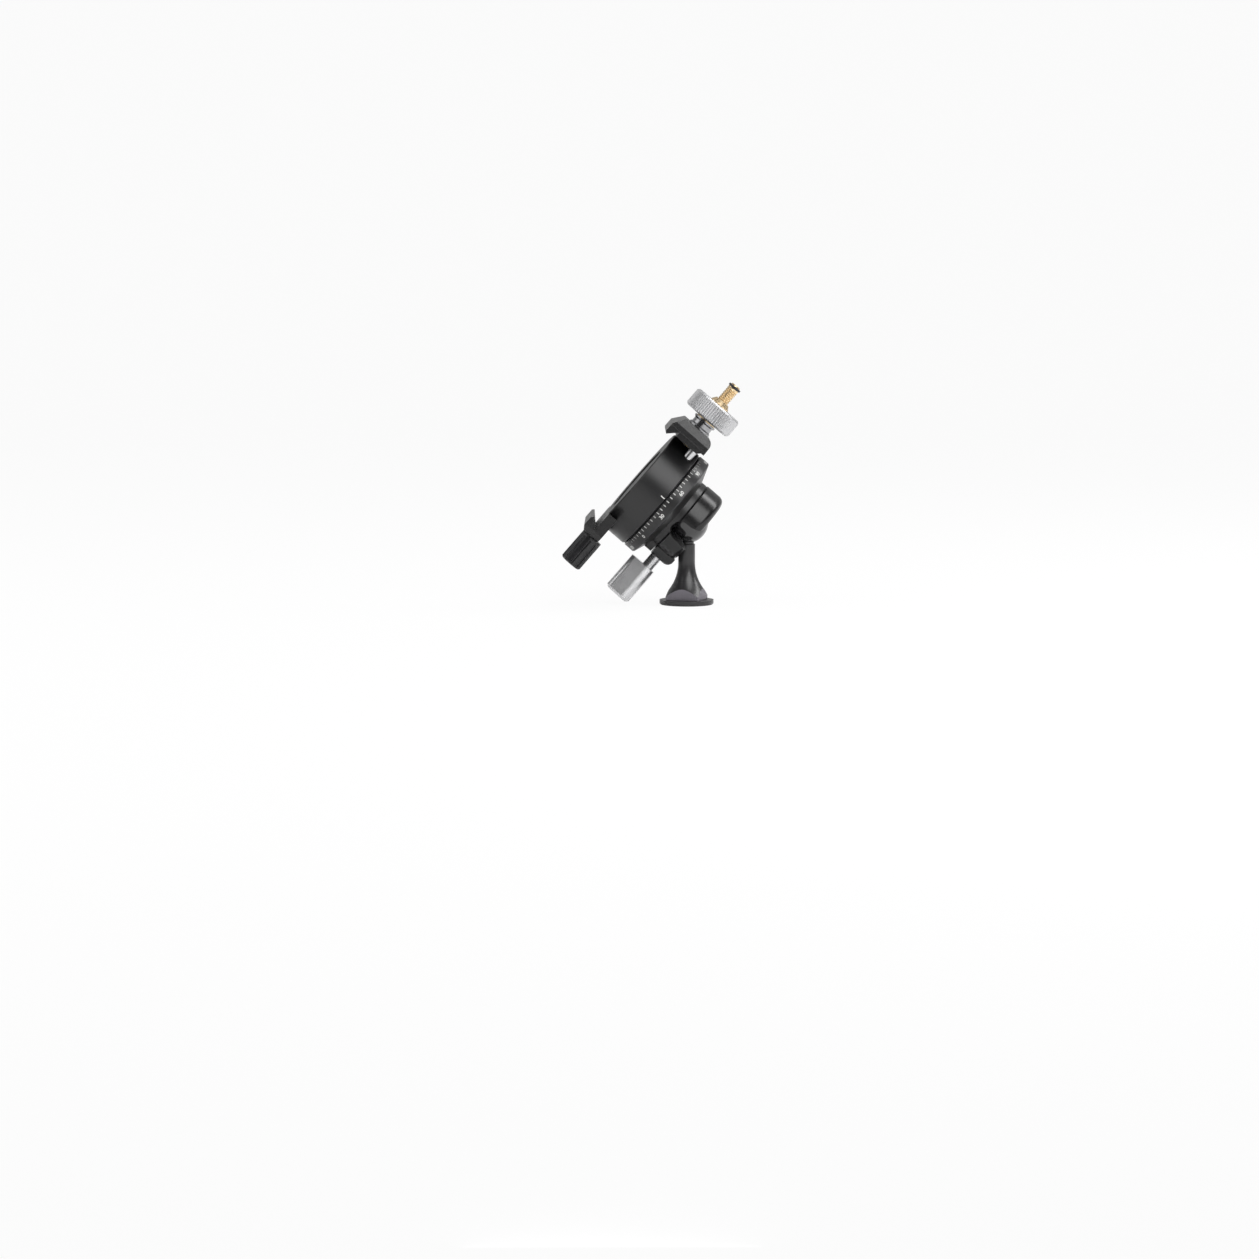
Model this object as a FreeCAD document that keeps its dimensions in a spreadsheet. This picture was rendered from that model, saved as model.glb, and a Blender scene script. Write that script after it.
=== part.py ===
import FreeCAD, Part

import math
import os
import re

import Sketcher

# A small tripod ball head of the upside-down kind. Its ball and stem stand on the tripod. The housing,
# the panning base and the dovetail clamp ride above the ball and can lean, turn and pan.
#
# Two sets of axes are used. The foot is drawn about the upright stem, with the origin at the centre of
# the foot's underside. Everything above the ball is drawn about the head's own axis with the ball's
# centre as origin, and is then leaned over by the tilt angle, the way the head hangs in its photograph.
# In both, Z runs up along the axis, X points to the clamp knob and Y away from the viewer.

Vector = FreeCAD.Vector
Rotation = FreeCAD.Rotation
Placement = FreeCAD.Placement

# Driving dimensions, in millimetres and degrees.
SIZES = {
    # How the head stands
    "tilt_angle": 49,
    "ball_height": 27.6,
    # Clearances
    "running_gap": 0.03,
    "moving_gap": 0.3,
    "face_gap": 0.1,
    # Foot, stem and ball
    "foot_radius": 9,
    "foot_rim_height": 2,
    "foot_edge": 0.4,
    "flat_offset": 5.6,
    "flat_floor": 1.6,
    "flat_turn": 17.6,
    "stem_radius": 2.8,
    "flare_top": 13.9,
    "undercut_radius": 2.4,
    "undercut_height": 0.9,
    "ball_radius": 7.25,
    "thread_radius": 3.175,
    "thread_lead_in": 0.35,
    "insert_radius": 4,
    "insert_height": 6,
    "relief_radius": 2.6,
    "relief_depth": 1.6,
    "stud_pin_radius": 1.5,
    "stud_pin_depth": 5.4,
    "stud_pin_reach": 4.6,
    # Housing round the ball
    "rim_drop": 5.2,
    "rim_round": 2.4,
    "housing_radius": 13.4,
    "seam_height": 2.5,
    "seam_groove": 0.3,
    "boss_reach": 15.5,
    "boss_half_width": 5.2,
    "boss_corner": 3.2,
    "boss_root": 12,
    "neck_boss_rise": 0.6,
    "seat_ledge_drop": 2.6,
    "seat_pocket_radius": 8.6,
    "seat_ring_top": 0.9,
    "notch_half_width": 3.4,
    "notch_flare": 4.6,
    "notch_straight": 1.3,
    "notch_centre_height": 0.2,
    "notch_turn": 15,
    # Seats and spring over the ball
    "cup_radius": 8.0,
    "cup_low_angle": 66,
    "cup_high_angle": 28,
    "cup_top": 7,
    "spring_gap": 0.05,
    "disc_spring_height": 0.7,
    "disc_spring_thickness": 0.35,
    "disc_spring_bore": 4.2,
    # Panning base with its degree scale
    "neck_radius": 13.1,
    "cone_base": 4.7,
    "flange_radius": 19.2,
    "flange_bottom": 6.8,
    "flange_edge": 0.35,
    "split_height": 10.9,
    "boss_radius": 8,
    "boss_top": 18.6,
    "tick_count": 72,
    "tick_width": 0.34,
    "tick_length": 1.1,
    "tick_depth": 0.18,
    "tick_drop": 0.35,
    # Screws that hold housing and base together
    "base_screw_circle": 10.8,
    "base_screw_radius": 0.9,
    "base_screw_head_radius": 1.7,
    "base_screw_head": 1,
    "base_screw_seat": 8.6,
    "base_screw_length": 8.6,
    "base_screw_first": -30,
    "base_screw_span": 180,
    "base_screw_count": 4,
    # Ball lock: shoe, screw and lever
    "shoe_radius": 2,
    "shoe_tail": 10.4,
    "lock_screw_radius": 1.95,
    "lever_start": 20.1,
    "lever_end": 33.6,
    "lever_reach": 6.4,
    "lever_hub_radius": 2.9,
    "lever_tip_half": 1.9,
    "lever_bevel": 0.8,
    "lever_screw_radius": 1,
    "lever_screw_head": 1.7,
    "lever_screw_head_height": 0.9,
    "lever_screw_length": 7,
    "lever_wall": 2.2,
    "lever_bore_step": 0.35,
    # Clamp body that pans on the base
    "pan_gap": 0.25,
    "drum_radius": 19.2,
    "drum_edge": 0.35,
    "seat_height": 21.9,
    "bearing_radius": 9.6,
    "bearing_inset": 0.3,
    "well_radius": 12,
    "pan_washer_thickness": 0.37,
    "pan_washer_lap": 0.8,
    "retainer_radius": 11.5,
    "retainer_thickness": 2.8,
    "groove_depth": 0.9,
    "groove_half_width": 1.1,
    "retainer_screw_circle": 5,
    "retainer_screw_radius": 1.2,
    "retainer_screw_head_radius": 2.3,
    "retainer_screw_head": 1.3,
    "retainer_screw_length": 8,
    "retainer_screw_count": 3,
    "slip_inner": 14.5,
    "slip_outer": 17.5,
    "slip_height": 0.8,
    # Jaws and the dovetail they hold
    "jaw_half_length": 18,
    "jaw_inner": 19.5,
    "jaw_outer": 25.8,
    "jaw_bottom": 11.1,
    "jaw_round": 2.2,
    "jaw_relief": 1.1,
    "claw_tip": 18.1,
    "claw_root": 21.2,
    "claw_top": 25.7,
    "claw_nose": 0.6,
    "claw_slant_start": 22,
    "claw_slant": 35,
    "facet_start": 21.5,
    "facet_middle": 23.2,
    "facet_first_depth": 1.4,
    "facet_depth": 5.5,
    "fixed_outer": 24.3,
    "fixed_bottom": 18.5,
    "fixed_step": 14,
    "fixed_screw_offset": 16.3,
    "fixed_screw_spread": 7,
    "fixed_screw_radius": 1.25,
    "fixed_screw_head_radius": 2.2,
    "fixed_screw_head": 1.2,
    "fixed_screw_length": 8,
    # Stud, nut, guide pins and spring that drive the moving jaw
    "drive_height": 17.2,
    "drive_radius": 2,
    "drive_room": 0.2,
    "drive_start": 13.2,
    "drive_end": 44.7,
    "clip_inset": 0.5,
    "clip_width": 0.7,
    "clip_outer": 2.3,
    "clip_inner": 1.6,
    "guide_radius": 1.5,
    "guide_spread": 9,
    "guide_height": 14.2,
    "guide_start": 11.8,
    "guide_end": 24.2,
    "pocket_radius": 3.5,
    "pocket_depth": 3,
    "coil_radius": 2.8,
    "coil_wire": 0.3,
    "coil_turns": 5,
    "collar_radius": 4.15,
    "collar_waist": 3.6,
    "collar_seat": 0.8,
    "collar_lip": 0.5,
    "knob_start": 29.6,
    "thrust_thickness": 0.4,
    "knob_radius": 8.95,
    "knob_thickness": 6.5,
    "knob_teeth": 64,
    "knurl_depth": 0.32,
    "knob_bevel": 0.7,
    "bush_radius": 3.5,
    "bush_lip": 0.3,
    "bush_nose": 1.7,
    "bush_nose_radius": 2.5,
    # Pan lock: plug, screw and knob
    "pan_lock_height": 20.2,
    "pan_shoe_radius": 1.2,
    "pan_shoe_tip": 0.3,
    "pan_shoe_stand": 0.3,
    "pan_shoe_tail": 15.5,
    "pan_screw_radius": 1.2,
    "pan_screw_end": 31,
    "pan_knob_start": 24.6,
    "pan_knob_end": 35.9,
    "pan_knob_radius": 3.8,
    "pan_knob_flutes": 10,
    "pan_knob_flute": 0.5,
    "pan_knob_bevel": 0.5,
}

doc = FreeCAD.newDocument("BallHead")
NODES = []


def make_sheet():
    """The spreadsheet that holds every driving dimension under its own name."""
    sheet = doc.addObject("Spreadsheet::Sheet", "Sizes")
    for row, (name, value) in enumerate(SIZES.items(), start=1):
        sheet.set(f"A{row}", name)
        sheet.set(f"B{row}", str(value))
        sheet.setAlias(f"B{row}", name)
    doc.recompute()
    return sheet


SHEET = make_sheet()


def bound(text):
    """A size written with plain names, such as seat_height - 2, with each name tied to its cell."""
    return re.sub(r"[a-z]+(?:_[a-z]+)+", lambda found: f"Sizes.{found.group(0)}", text)


def worked(text):
    """The number that such a size comes to."""
    return float(SHEET.evalExpression(bound(text)))


# Helpers that draw, turn, extrude and cut.


def in_head(x="0", y="0", z="0"):
    """Where a point given in the head's axes lies once the head is leaned over."""
    across = f"({x}) * cos(tilt_angle) - ({z}) * sin(tilt_angle)"
    up = f"ball_height + ({x}) * sin(tilt_angle) + ({z}) * cos(tilt_angle)"
    return across, y, up


def set_place(piece, spot, lean):
    """Puts a piece's own origin at a spot and leans it over by an angle about Y."""
    piece.Placement = Placement(Vector(*map(worked, spot)), Rotation(Vector(0, 1, 0), worked(lean)))
    for axis, text in zip("xyz", spot):
        if text != "0":
            piece.setExpression(f"Placement.Base.{axis}", bound(text))
    if lean != "0":
        piece.setExpression("Placement.Rotation.Angle", bound(lean))


def new_body(label, spot=("0", "0", "0"), lean="0"):
    """An empty body for one piece. Its label names the node."""
    body = doc.addObject("PartDesign::Body", label.title().replace("_", ""))
    body.Label = label
    body.AllowCompound = True
    set_place(body, spot, lean)
    NODES.append(body)
    return body


def head_body(label, x="0", y="0", z="0"):
    """A body drawn in the head's axes about the given point."""
    return new_body(label, in_head(x, y, z), "-tilt_angle")


def new_sketch(body, role, lift="0", turn="0"):
    """A sketch on one of the body's origin planes, lifted along its normal and turned in the plane."""
    sketch = body.newObject("Sketcher::SketchObject", "Outline")
    plane = next(item for item in body.Origin.OriginFeatures if item.Role == role)
    sketch.AttachmentSupport = (plane, [""])
    sketch.MapMode = "FlatFace"
    sketch.AttachmentOffset = Placement(Vector(0, 0, worked(lift)), Rotation(Vector(0, 0, 1), worked(turn)))
    if lift != "0":
        sketch.setExpression("AttachmentOffset.Base.z", bound(lift))
    if turn != "0":
        sketch.setExpression("AttachmentOffset.Rotation.Angle", bound(turn))
    return sketch


def tie(sketch, edge, end, spot):
    """Holds one point of a sketch at a spot, each way either on an axis or at a named size."""
    for kind, text, axis in (("DistanceX", spot[0], -2), ("DistanceY", spot[1], -1)):
        if text == "0":
            sketch.addConstraint(Sketcher.Constraint("PointOnObject", edge, end, axis))
        elif text:
            size = Sketcher.Constraint(kind, -1, 1, edge, end, worked(text))
            index = sketch.addConstraint(size)
            sketch.setExpression(f"Constraints[{index}]", bound(text))


def arc_between(start, stop, across, along):
    """The arc from start to stop whose centre has the given place across or along."""
    middle = (start + stop) * 0.5
    way = stop - start
    square = Vector(-way.y, way.x, 0)
    step = (across - middle.x) / square.x if across is not None else (along - middle.y) / square.y
    centre = middle + square * step
    first = math.atan2(start.y - centre.y, start.x - centre.x)
    last = math.atan2(stop.y - centre.y, stop.x - centre.x)
    return centre, (start - centre).Length, first, last


def outline(sketch, corners, arcs=None):
    """A closed outline through the corners. arcs gives, for the number of the corner that an arc
    leaves, its way round and where its centre lies: (way, across, along), one of the two left None."""
    arcs = arcs or {}
    spots = [Vector(worked(u), worked(v), 0) for u, v in corners]
    ends = []
    for number, start in enumerate(spots):
        stop = spots[(number + 1) % len(spots)]
        if number in arcs:
            way, across, along = arcs[number]
            values = [None if text is None else worked(text) for text in (across, along)]
            centre, radius, first, last = arc_between(start, stop, *values)
            circle = Part.Circle(centre, Vector(0, 0, 1), radius)
            if way == "left":
                sketch.addGeometry(Part.ArcOfCircle(circle, first, last), False)
                ends.append((1, 2))
            else:
                sketch.addGeometry(Part.ArcOfCircle(circle, last, first), False)
                ends.append((2, 1))
        else:
            sketch.addGeometry(Part.LineSegment(start, stop), False)
            ends.append((1, 2))
    for number in range(len(spots)):
        following = (number + 1) % len(spots)
        joint = Sketcher.Constraint("Coincident", number, ends[number][1], following, ends[following][0])
        sketch.addConstraint(joint)
    for number, corner in enumerate(corners):
        tie(sketch, number, ends[number][0], corner)
    for number, (way, across, along) in arcs.items():
        tie(sketch, number, 3, (across, along))


def circle(sketch, spot, radius):
    """A circle of a named radius about a spot."""
    centre = Vector(worked(spot[0]), worked(spot[1]), 0)
    edge = sketch.addGeometry(Part.Circle(centre, Vector(0, 0, 1), worked(radius)), False)
    tie(sketch, edge, 3, spot)
    index = sketch.addConstraint(Sketcher.Constraint("Radius", edge, worked(radius)))
    sketch.setExpression(f"Constraints[{index}]", bound(radius))


def turned(body, corners, arcs=None, axis="V_Axis"):
    """A solid of revolution from an outline in the XZ plane, about Z or, with H_Axis, about X."""
    sketch = new_sketch(body, "XZ_Plane")
    outline(sketch, corners, arcs)
    feature = body.newObject("PartDesign::Revolution", "Turn")
    feature.Profile = sketch
    feature.ReferenceAxis = (sketch, [axis])
    feature.Angle = 360
    doc.recompute()
    return feature


def extruded(body, role, corners, length, arcs=None, lift="0", both=False):
    """A solid pushed out of an outline, to one side of its plane or to both."""
    sketch = new_sketch(body, role, lift)
    outline(sketch, corners, arcs)
    feature = body.newObject("PartDesign::Pad", "Push")
    feature.Profile = sketch
    feature.Length = worked(length)
    feature.setExpression("Length", bound(length))
    if both:
        feature.SideType = "Symmetric"
    doc.recompute()
    return feature


def cut(body, sketch, length=None, forward=False):
    """A pocket from a sketch, right through both ways or, with a length, to one side only."""
    before = body.Shape.Volume
    feature = body.newObject("PartDesign::Pocket", "Cut")
    feature.Profile = sketch
    if length is None:
        feature.SideType = "Symmetric"
        feature.Type = "ThroughAll"
    else:
        feature.Length = worked(length)
        feature.setExpression("Length", bound(length))
        feature.Reversed = forward
    doc.recompute()
    if not feature.isValid() or body.Shape.Volume > before - 1e-4:
        raise RuntimeError(f"{body.Label}: a cut removes nothing")
    return feature


def drill(body, role, spots, radius, length=None, lift="0", turn="0", forward=False):
    """Round holes at the given spots of a plane."""
    sketch = new_sketch(body, role, lift, turn)
    for spot in spots:
        circle(sketch, spot, radius)
    return cut(body, sketch, length, forward)


def ring_of(body, features, count, span="360"):
    """Repeats features round the body's Z axis, evenly over the span."""
    pattern = body.newObject("PartDesign::PolarPattern", "Ring")
    pattern.Originals = features
    axis = next(item for item in body.Origin.OriginFeatures if item.Role == "Z_Axis")
    pattern.Axis = (axis, [""])
    pattern.Angle = worked(span)
    pattern.Occurrences = int(worked(count))
    pattern.setExpression("Occurrences", bound(count))
    body.Tip = pattern
    doc.recompute()
    return pattern


def plain_piece(label, shape, spot, lean="-tilt_angle"):
    """A piece whose shape is worked out directly, put in its place in the head afterwards."""
    piece = doc.addObject("Part::Feature", label.title().replace("_", ""))
    piece.Label = label
    piece.Shape = shape
    set_place(piece, spot, lean)
    NODES.append(piece)
    return piece


# Foot and ball. They stay with the tripod.

# Where the stem's top meets the ball, counted from the ball's centre.
STEM_TOP = "-sqrt(ball_radius ^ 2 - stem_radius ^ 2)"


def make_foot():
    """Foot, trumpet and stem, turned in one piece. The trumpet is one arc that leaves the stem
    without a corner. Four flats for a wrench cut into it, so their tops come out arched."""
    body = new_body("foot")
    top = f"ball_height + {STEM_TOP} - running_gap"
    corners = [
        ("insert_radius", "0"),
        ("foot_radius - foot_edge", "0"),
        ("foot_radius", "foot_edge"),
        ("foot_radius", "foot_rim_height"),
        ("stem_radius", "flare_top"),
        ("stem_radius", f"{top} - undercut_height"),
        ("undercut_radius", f"{top} - undercut_height * 0.6"),
        ("undercut_radius", top),
        ("stud_pin_radius", top),
        ("stud_pin_radius", f"{top} - stud_pin_depth"),
        ("0", f"{top} - stud_pin_depth"),
        ("0", "insert_height + relief_depth"),
        ("relief_radius", "insert_height + relief_depth"),
        ("relief_radius", "insert_height"),
        ("insert_radius", "insert_height"),
    ]
    turned(body, corners, {3: ("right", None, "flare_top")})
    for quarter in range(4):
        sketch = new_sketch(body, "XY_Plane", "flat_floor", f"{90 * quarter} - flat_turn")
        outline(sketch, [
            ("-foot_radius", "-flat_offset"),
            ("-foot_radius", "-foot_radius - 1"),
            ("foot_radius", "-foot_radius - 1"),
            ("foot_radius", "-flat_offset"),
        ])
        cut(body, sketch, "flare_top", forward=True)


def make_thread_insert():
    """Steel bushing in the foot that takes the tripod's quarter-inch screw."""
    body = new_body("thread_insert")
    turned(body, [
        ("thread_radius", "thread_lead_in"),
        ("thread_radius + thread_lead_in", "0"),
        ("insert_radius", "0"),
        ("insert_radius", "insert_height"),
        ("thread_radius", "insert_height"),
    ])


def make_stem_stud():
    """Steel stud, half in the stem and half in the ball."""
    body = new_body("stem_stud", ("0", "0", "ball_height"))
    turned(body, [
        ("0", f"{STEM_TOP} - running_gap - stud_pin_depth"),
        ("stud_pin_radius", f"{STEM_TOP} - running_gap - stud_pin_depth"),
        ("stud_pin_radius", f"{STEM_TOP} + stud_pin_reach"),
        ("0", f"{STEM_TOP} + stud_pin_reach"),
    ])


def make_ball():
    """The ball, cut flat where the stem meets it and bored for the stud."""
    body = new_body("ball", ("0", "0", "ball_height"))
    bore = "stud_pin_radius + running_gap"
    turned(body, [
        (bore, STEM_TOP),
        ("stem_radius", STEM_TOP),
        ("0", "ball_radius"),
        ("0", f"{STEM_TOP} + stud_pin_reach + face_gap"),
        (bore, f"{STEM_TOP} + stud_pin_reach + face_gap"),
    ], {1: ("left", "0", None)})


# Housing, seats and panning base. They lean and turn on the ball.

# Radius of every surface that bears on the ball.
BEARING = "(ball_radius + running_gap)"
# The cone under the ball touches the cup's bearing surface at this angle from straight down.
LIP_ANGLE = f"(tilt_angle * 1deg + asin((stem_radius + moving_gap) / {BEARING}))"


def cone_at(drop):
    """Radius of the cone under the ball at a depth below its centre. It follows the side of the
    stem, with room, when the head leans by the full tilt angle."""
    return f"(({drop}) * tan(tilt_angle) + (stem_radius + moving_gap) / cos(tilt_angle))"


def make_upper_seat():
    """Polymer cup that bears on the ball from above."""
    body = head_body("upper_seat")
    low = (f"{BEARING} * sin(cup_low_angle)", f"{BEARING} * cos(cup_low_angle)")
    high = (f"{BEARING} * sin(cup_high_angle)", f"{BEARING} * cos(cup_high_angle)")
    corners = [low, ("cup_radius", low[1]), ("cup_radius", "cup_top"), (high[0], "cup_top"), high]
    turned(body, corners, {4: ("right", "0", None)})


def cut_notch(body):
    """The drop notch: an arched slot wide enough for the stem, flaring towards the rim."""
    sketch = new_sketch(body, "XZ_Plane")
    sketch.AttachmentOffset = Placement(Vector(0, 0, 0), Rotation(Vector(0, 1, 0), worked("-notch_turn")))
    sketch.setExpression("AttachmentOffset.Rotation.Angle", bound("-notch_turn"))
    outline(sketch, [
        ("notch_half_width", "notch_centre_height"),
        ("-notch_half_width", "notch_centre_height"),
        ("-notch_half_width", "-notch_straight"),
        ("-notch_flare", "-rim_drop - 1"),
        ("notch_flare", "-rim_drop - 1"),
        ("notch_half_width", "-notch_straight"),
    ], {0: ("left", None, "notch_centre_height")})
    cut(body, sketch, "boss_reach + 1", forward=True)


def add_boss(body, bottom, top, reach, corner_round):
    """The boss at the left of the housing: a block with rounded upright corners."""
    profile = [
        (f"-{reach}", top),
        (f"-{reach}", f"{bottom} + {corner_round}"),
        (f"-{reach} + {corner_round}", bottom),
        ("-boss_root", bottom),
        ("-boss_root", top),
    ]
    sides = "2 * boss_half_width"
    extruded(body, "XZ_Plane", profile, sides, {1: ("left", None, f"{bottom} + {corner_round}")}, both=True)
    for side, way in (("", "left"), ("-", "right")):
        inner = f"{side}(boss_half_width - boss_corner)"
        sketch = new_sketch(body, "XY_Plane")
        outline(sketch, [
            (f"-{reach} + boss_corner", f"{side}(boss_half_width)"),
            (f"-{reach}", inner),
            (f"-{reach} - 1", inner),
            (f"-{reach} - 1", f"{side}(boss_half_width + 1)"),
            (f"-{reach} + boss_corner", f"{side}(boss_half_width + 1)"),
        ], {0: (way, None, inner)})
        cut(body, sketch)


def make_ball_housing():
    """Cup round the ball: a boss at the left takes the lock screw, a cone below clears the stem,
    a pocket holds the lower seat, and the drop notch opens the front."""
    body = head_body("ball_housing")
    corners = [
        (cone_at("rim_drop"), "-rim_drop"),
        ("housing_radius - rim_round", "-rim_drop"),
        ("housing_radius", "-rim_drop + rim_round"),
        ("housing_radius", "seam_height - seam_groove"),
        ("housing_radius - seam_groove", "seam_height"),
        ("seat_pocket_radius", "seam_height"),
        ("seat_pocket_radius", "-seat_ledge_drop"),
        (cone_at("seat_ledge_drop"), "-seat_ledge_drop"),
    ]
    turned(body, corners, {1: ("left", None, "-rim_drop + rim_round")})
    add_boss(body, "-rim_drop", "seam_height - seam_groove", "boss_reach", "rim_round")
    drill(body, "YZ_Plane", [("0", "0")], "shoe_radius + running_gap", "boss_reach + 1")
    spots = [("base_screw_circle", "0")]
    hole = drill(body, "XY_Plane", spots, "base_screw_radius",
                 "base_screw_length - base_screw_seat + seam_height", lift="seam_height",
                 turn="base_screw_first")
    ring_of(body, [hole], "base_screw_count", "base_screw_span")
    cut_notch(body)


def make_lower_seat():
    """Polymer ring that holds the ball from below. It lies in the housing's pocket and is cut
    through for the lock shoe and the drop notch."""
    body = head_body("lower_seat")
    lip = (f"{BEARING} * sin({LIP_ANGLE})", f"-{BEARING} * cos({LIP_ANGLE})")
    turned(body, [
        lip,
        (cone_at("seat_ledge_drop"), "-seat_ledge_drop"),
        ("seat_pocket_radius", "-seat_ledge_drop"),
        ("seat_pocket_radius", "seat_ring_top"),
        (f"sqrt({BEARING} ^ 2 - seat_ring_top ^ 2)", "seat_ring_top"),
    ], {4: ("right", "0", None)})
    drill(body, "YZ_Plane", [("0", "0")], "shoe_radius + running_gap", "boss_reach + 1")
    cut_notch(body)


def make_seat_spring():
    """Disc spring, a shallow cone of sheet steel, between the upper seat and the base."""
    body = head_body("seat_spring")
    bottom = "cup_top + spring_gap"
    turned(body, [
        ("disc_spring_bore", f"{bottom} + disc_spring_height - disc_spring_thickness"),
        ("disc_spring_bore", f"{bottom} + disc_spring_height"),
        ("cup_radius - face_gap", f"{bottom} + disc_spring_thickness"),
        ("cup_radius - face_gap", bottom),
    ])


def make_pan_base():
    """Neck, cone and flange with the boss that the clamp turns on. The flange's rim carries the
    degree scale as engraved ticks. The drop notch's arch reaches into the neck."""
    body = head_body("pan_base")
    ceiling = "cup_top + 2 * spring_gap + disc_spring_height"
    pocket = "cup_radius + running_gap"
    turned(body, [
        (pocket, "seam_height"),
        ("neck_radius - seam_groove", "seam_height"),
        ("neck_radius", "seam_height + seam_groove"),
        ("neck_radius", "cone_base"),
        ("flange_radius - flange_edge", "flange_bottom"),
        ("flange_radius", "flange_bottom + flange_edge"),
        ("flange_radius", "split_height - flange_edge"),
        ("flange_radius - flange_edge", "split_height"),
        ("boss_radius", "split_height"),
        ("boss_radius", "boss_top"),
        ("0", "boss_top"),
        ("0", ceiling),
        (pocket, ceiling),
    ])
    bottom = "seam_height + seam_groove"
    add_boss(body, bottom, "(cone_base + neck_boss_rise)", "(boss_reach - seam_groove)", "seam_groove")
    spots = [("base_screw_circle", "0")]
    way = {"lift": "split_height", "turn": "base_screw_first"}
    seat = drill(body, "XY_Plane", spots, "base_screw_head_radius + face_gap",
                 "split_height - base_screw_seat", **way)
    hole = drill(body, "XY_Plane", spots, "base_screw_radius + face_gap", "split_height", **way)
    ring_of(body, [seat, hole], "base_screw_count", "base_screw_span")
    hole = drill(body, "XY_Plane", [("retainer_screw_circle", "0")], "retainer_screw_radius",
                 "retainer_screw_length - retainer_thickness", lift="boss_top")
    ring_of(body, [hole], "retainer_screw_count")
    cut_notch(body)
    sketch = new_sketch(body, "XY_Plane", "split_height - tick_drop")
    outline(sketch, [
        ("flange_radius - tick_depth", "-tick_width / 2"),
        ("flange_radius + 1", "-tick_width / 2"),
        ("flange_radius + 1", "tick_width / 2"),
        ("flange_radius - tick_depth", "tick_width / 2"),
    ])
    tick = cut(body, sketch, "tick_length")
    ring_of(body, [tick], "tick_count")


def pegs(body, spots, radius, bottom, top, role="XY_Plane", turn="0"):
    """Round pegs at the given spots of a plane, from one distance along its normal to another."""
    sketch = new_sketch(body, role, bottom, turn)
    for spot in spots:
        circle(sketch, spot, radius)
    feature = body.newObject("PartDesign::Pad", "Peg")
    feature.Profile = sketch
    feature.Length = worked(f"({top}) - ({bottom})")
    feature.setExpression("Length", bound(f"({top}) - ({bottom})"))
    doc.recompute()
    return feature


def hexagon(across):
    """Corners of a hexagon of the given width across its flats."""
    corners = []
    for number in range(6):
        angle = 60 * number + 30
        corners.append((f"{across} / sqrt(3) * cos({angle})", f"{across} / sqrt(3) * sin({angle})"))
    return corners


def socket_screws(label, at, length, radius, head_radius, head, circle_radius, count, span="360", first="0"):
    """A ring of identical screws with round heads and hexagon sockets, heads up. at is the height
    of the underside of their heads, and length what is left of the shank below it."""
    body = head_body(label)
    spots = [(circle_radius, "0")]
    peg = pegs(body, spots, head_radius, at, f"{at} + {head}", turn=first)
    shank = pegs(body, spots, radius, f"{at} - ({length})", at, turn=first)
    sketch = new_sketch(body, "XY_Plane", f"{at} + {head}", first)
    outline(sketch, [(f"{circle_radius} + {u}", v) for u, v in hexagon(radius)])
    socket = cut(body, sketch, f"{head} * 0.6")
    ring_of(body, [peg, shank, socket], count, span)


def make_base_screws():
    """Four screws hold the housing to the base. The drop notch takes the place of the others."""
    socket_screws("base_screws", "base_screw_seat", "base_screw_length", "base_screw_radius",
                  "base_screw_head_radius", "base_screw_head", "base_screw_circle",
                  "base_screw_count", "base_screw_span", "base_screw_first")


def make_pan_retainer():
    """Disc on top of the boss. It holds the clamp body down, and the pan lock's plug bears in the
    groove round its rim."""
    body = head_body("pan_retainer")
    turned(body, [
        ("0", "boss_top"),
        ("retainer_radius", "boss_top"),
        ("retainer_radius", "pan_lock_height - groove_half_width"),
        ("retainer_radius - groove_depth", "pan_lock_height"),
        ("retainer_radius", "pan_lock_height + groove_half_width"),
        ("retainer_radius", "boss_top + retainer_thickness"),
        ("0", "boss_top + retainer_thickness"),
    ])
    spots = [("retainer_screw_circle", "0")]
    top = "boss_top + retainer_thickness"
    seat = drill(body, "XY_Plane", spots, "retainer_screw_head_radius + face_gap",
                 "retainer_screw_head", lift=top)
    hole = drill(body, "XY_Plane", spots, "retainer_screw_radius + face_gap", "retainer_thickness", lift=top)
    ring_of(body, [seat, hole], "retainer_screw_count")


def make_retainer_screws():
    """Three screws, sunk flush, hold the retainer on the boss."""
    at = "boss_top + retainer_thickness - retainer_screw_head"
    socket_screws("retainer_screws", at, "retainer_screw_length - retainer_screw_head",
                  "retainer_screw_radius", "retainer_screw_head_radius", "retainer_screw_head",
                  "retainer_screw_circle", "retainer_screw_count")


# Ball lock. The lever turns the screw, and the screw pushes the shoe against the ball's side.


def make_lock_shoe():
    """Brass shoe with a hollow face that fits the ball."""
    body = head_body("lock_shoe")
    turned(body, [
        ("-shoe_tail", "0"),
        ("-shoe_tail", "shoe_radius"),
        (f"-sqrt({BEARING} ^ 2 - shoe_radius ^ 2)", "shoe_radius"),
        (f"-{BEARING}", "0"),
    ], {2: ("left", None, "0")}, axis="H_Axis")


def make_lock_screw():
    """Silver screw through the boss. Its outer end steps down into the lever."""
    body = head_body("lock_screw")
    end = "-(lever_end - lever_wall)"
    inner = "lock_screw_radius - lever_bore_step"
    tapped = "-(lever_end - lever_screw_head_height - lever_screw_length)"
    turned(body, [
        ("-shoe_tail", "0"),
        ("-shoe_tail", "lock_screw_radius"),
        ("-lever_start", "lock_screw_radius"),
        ("-lever_start", inner),
        (end, inner),
        (end, "lever_screw_radius"),
        (tapped, "lever_screw_radius"),
        (tapped, "0"),
    ], axis="H_Axis")


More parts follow.
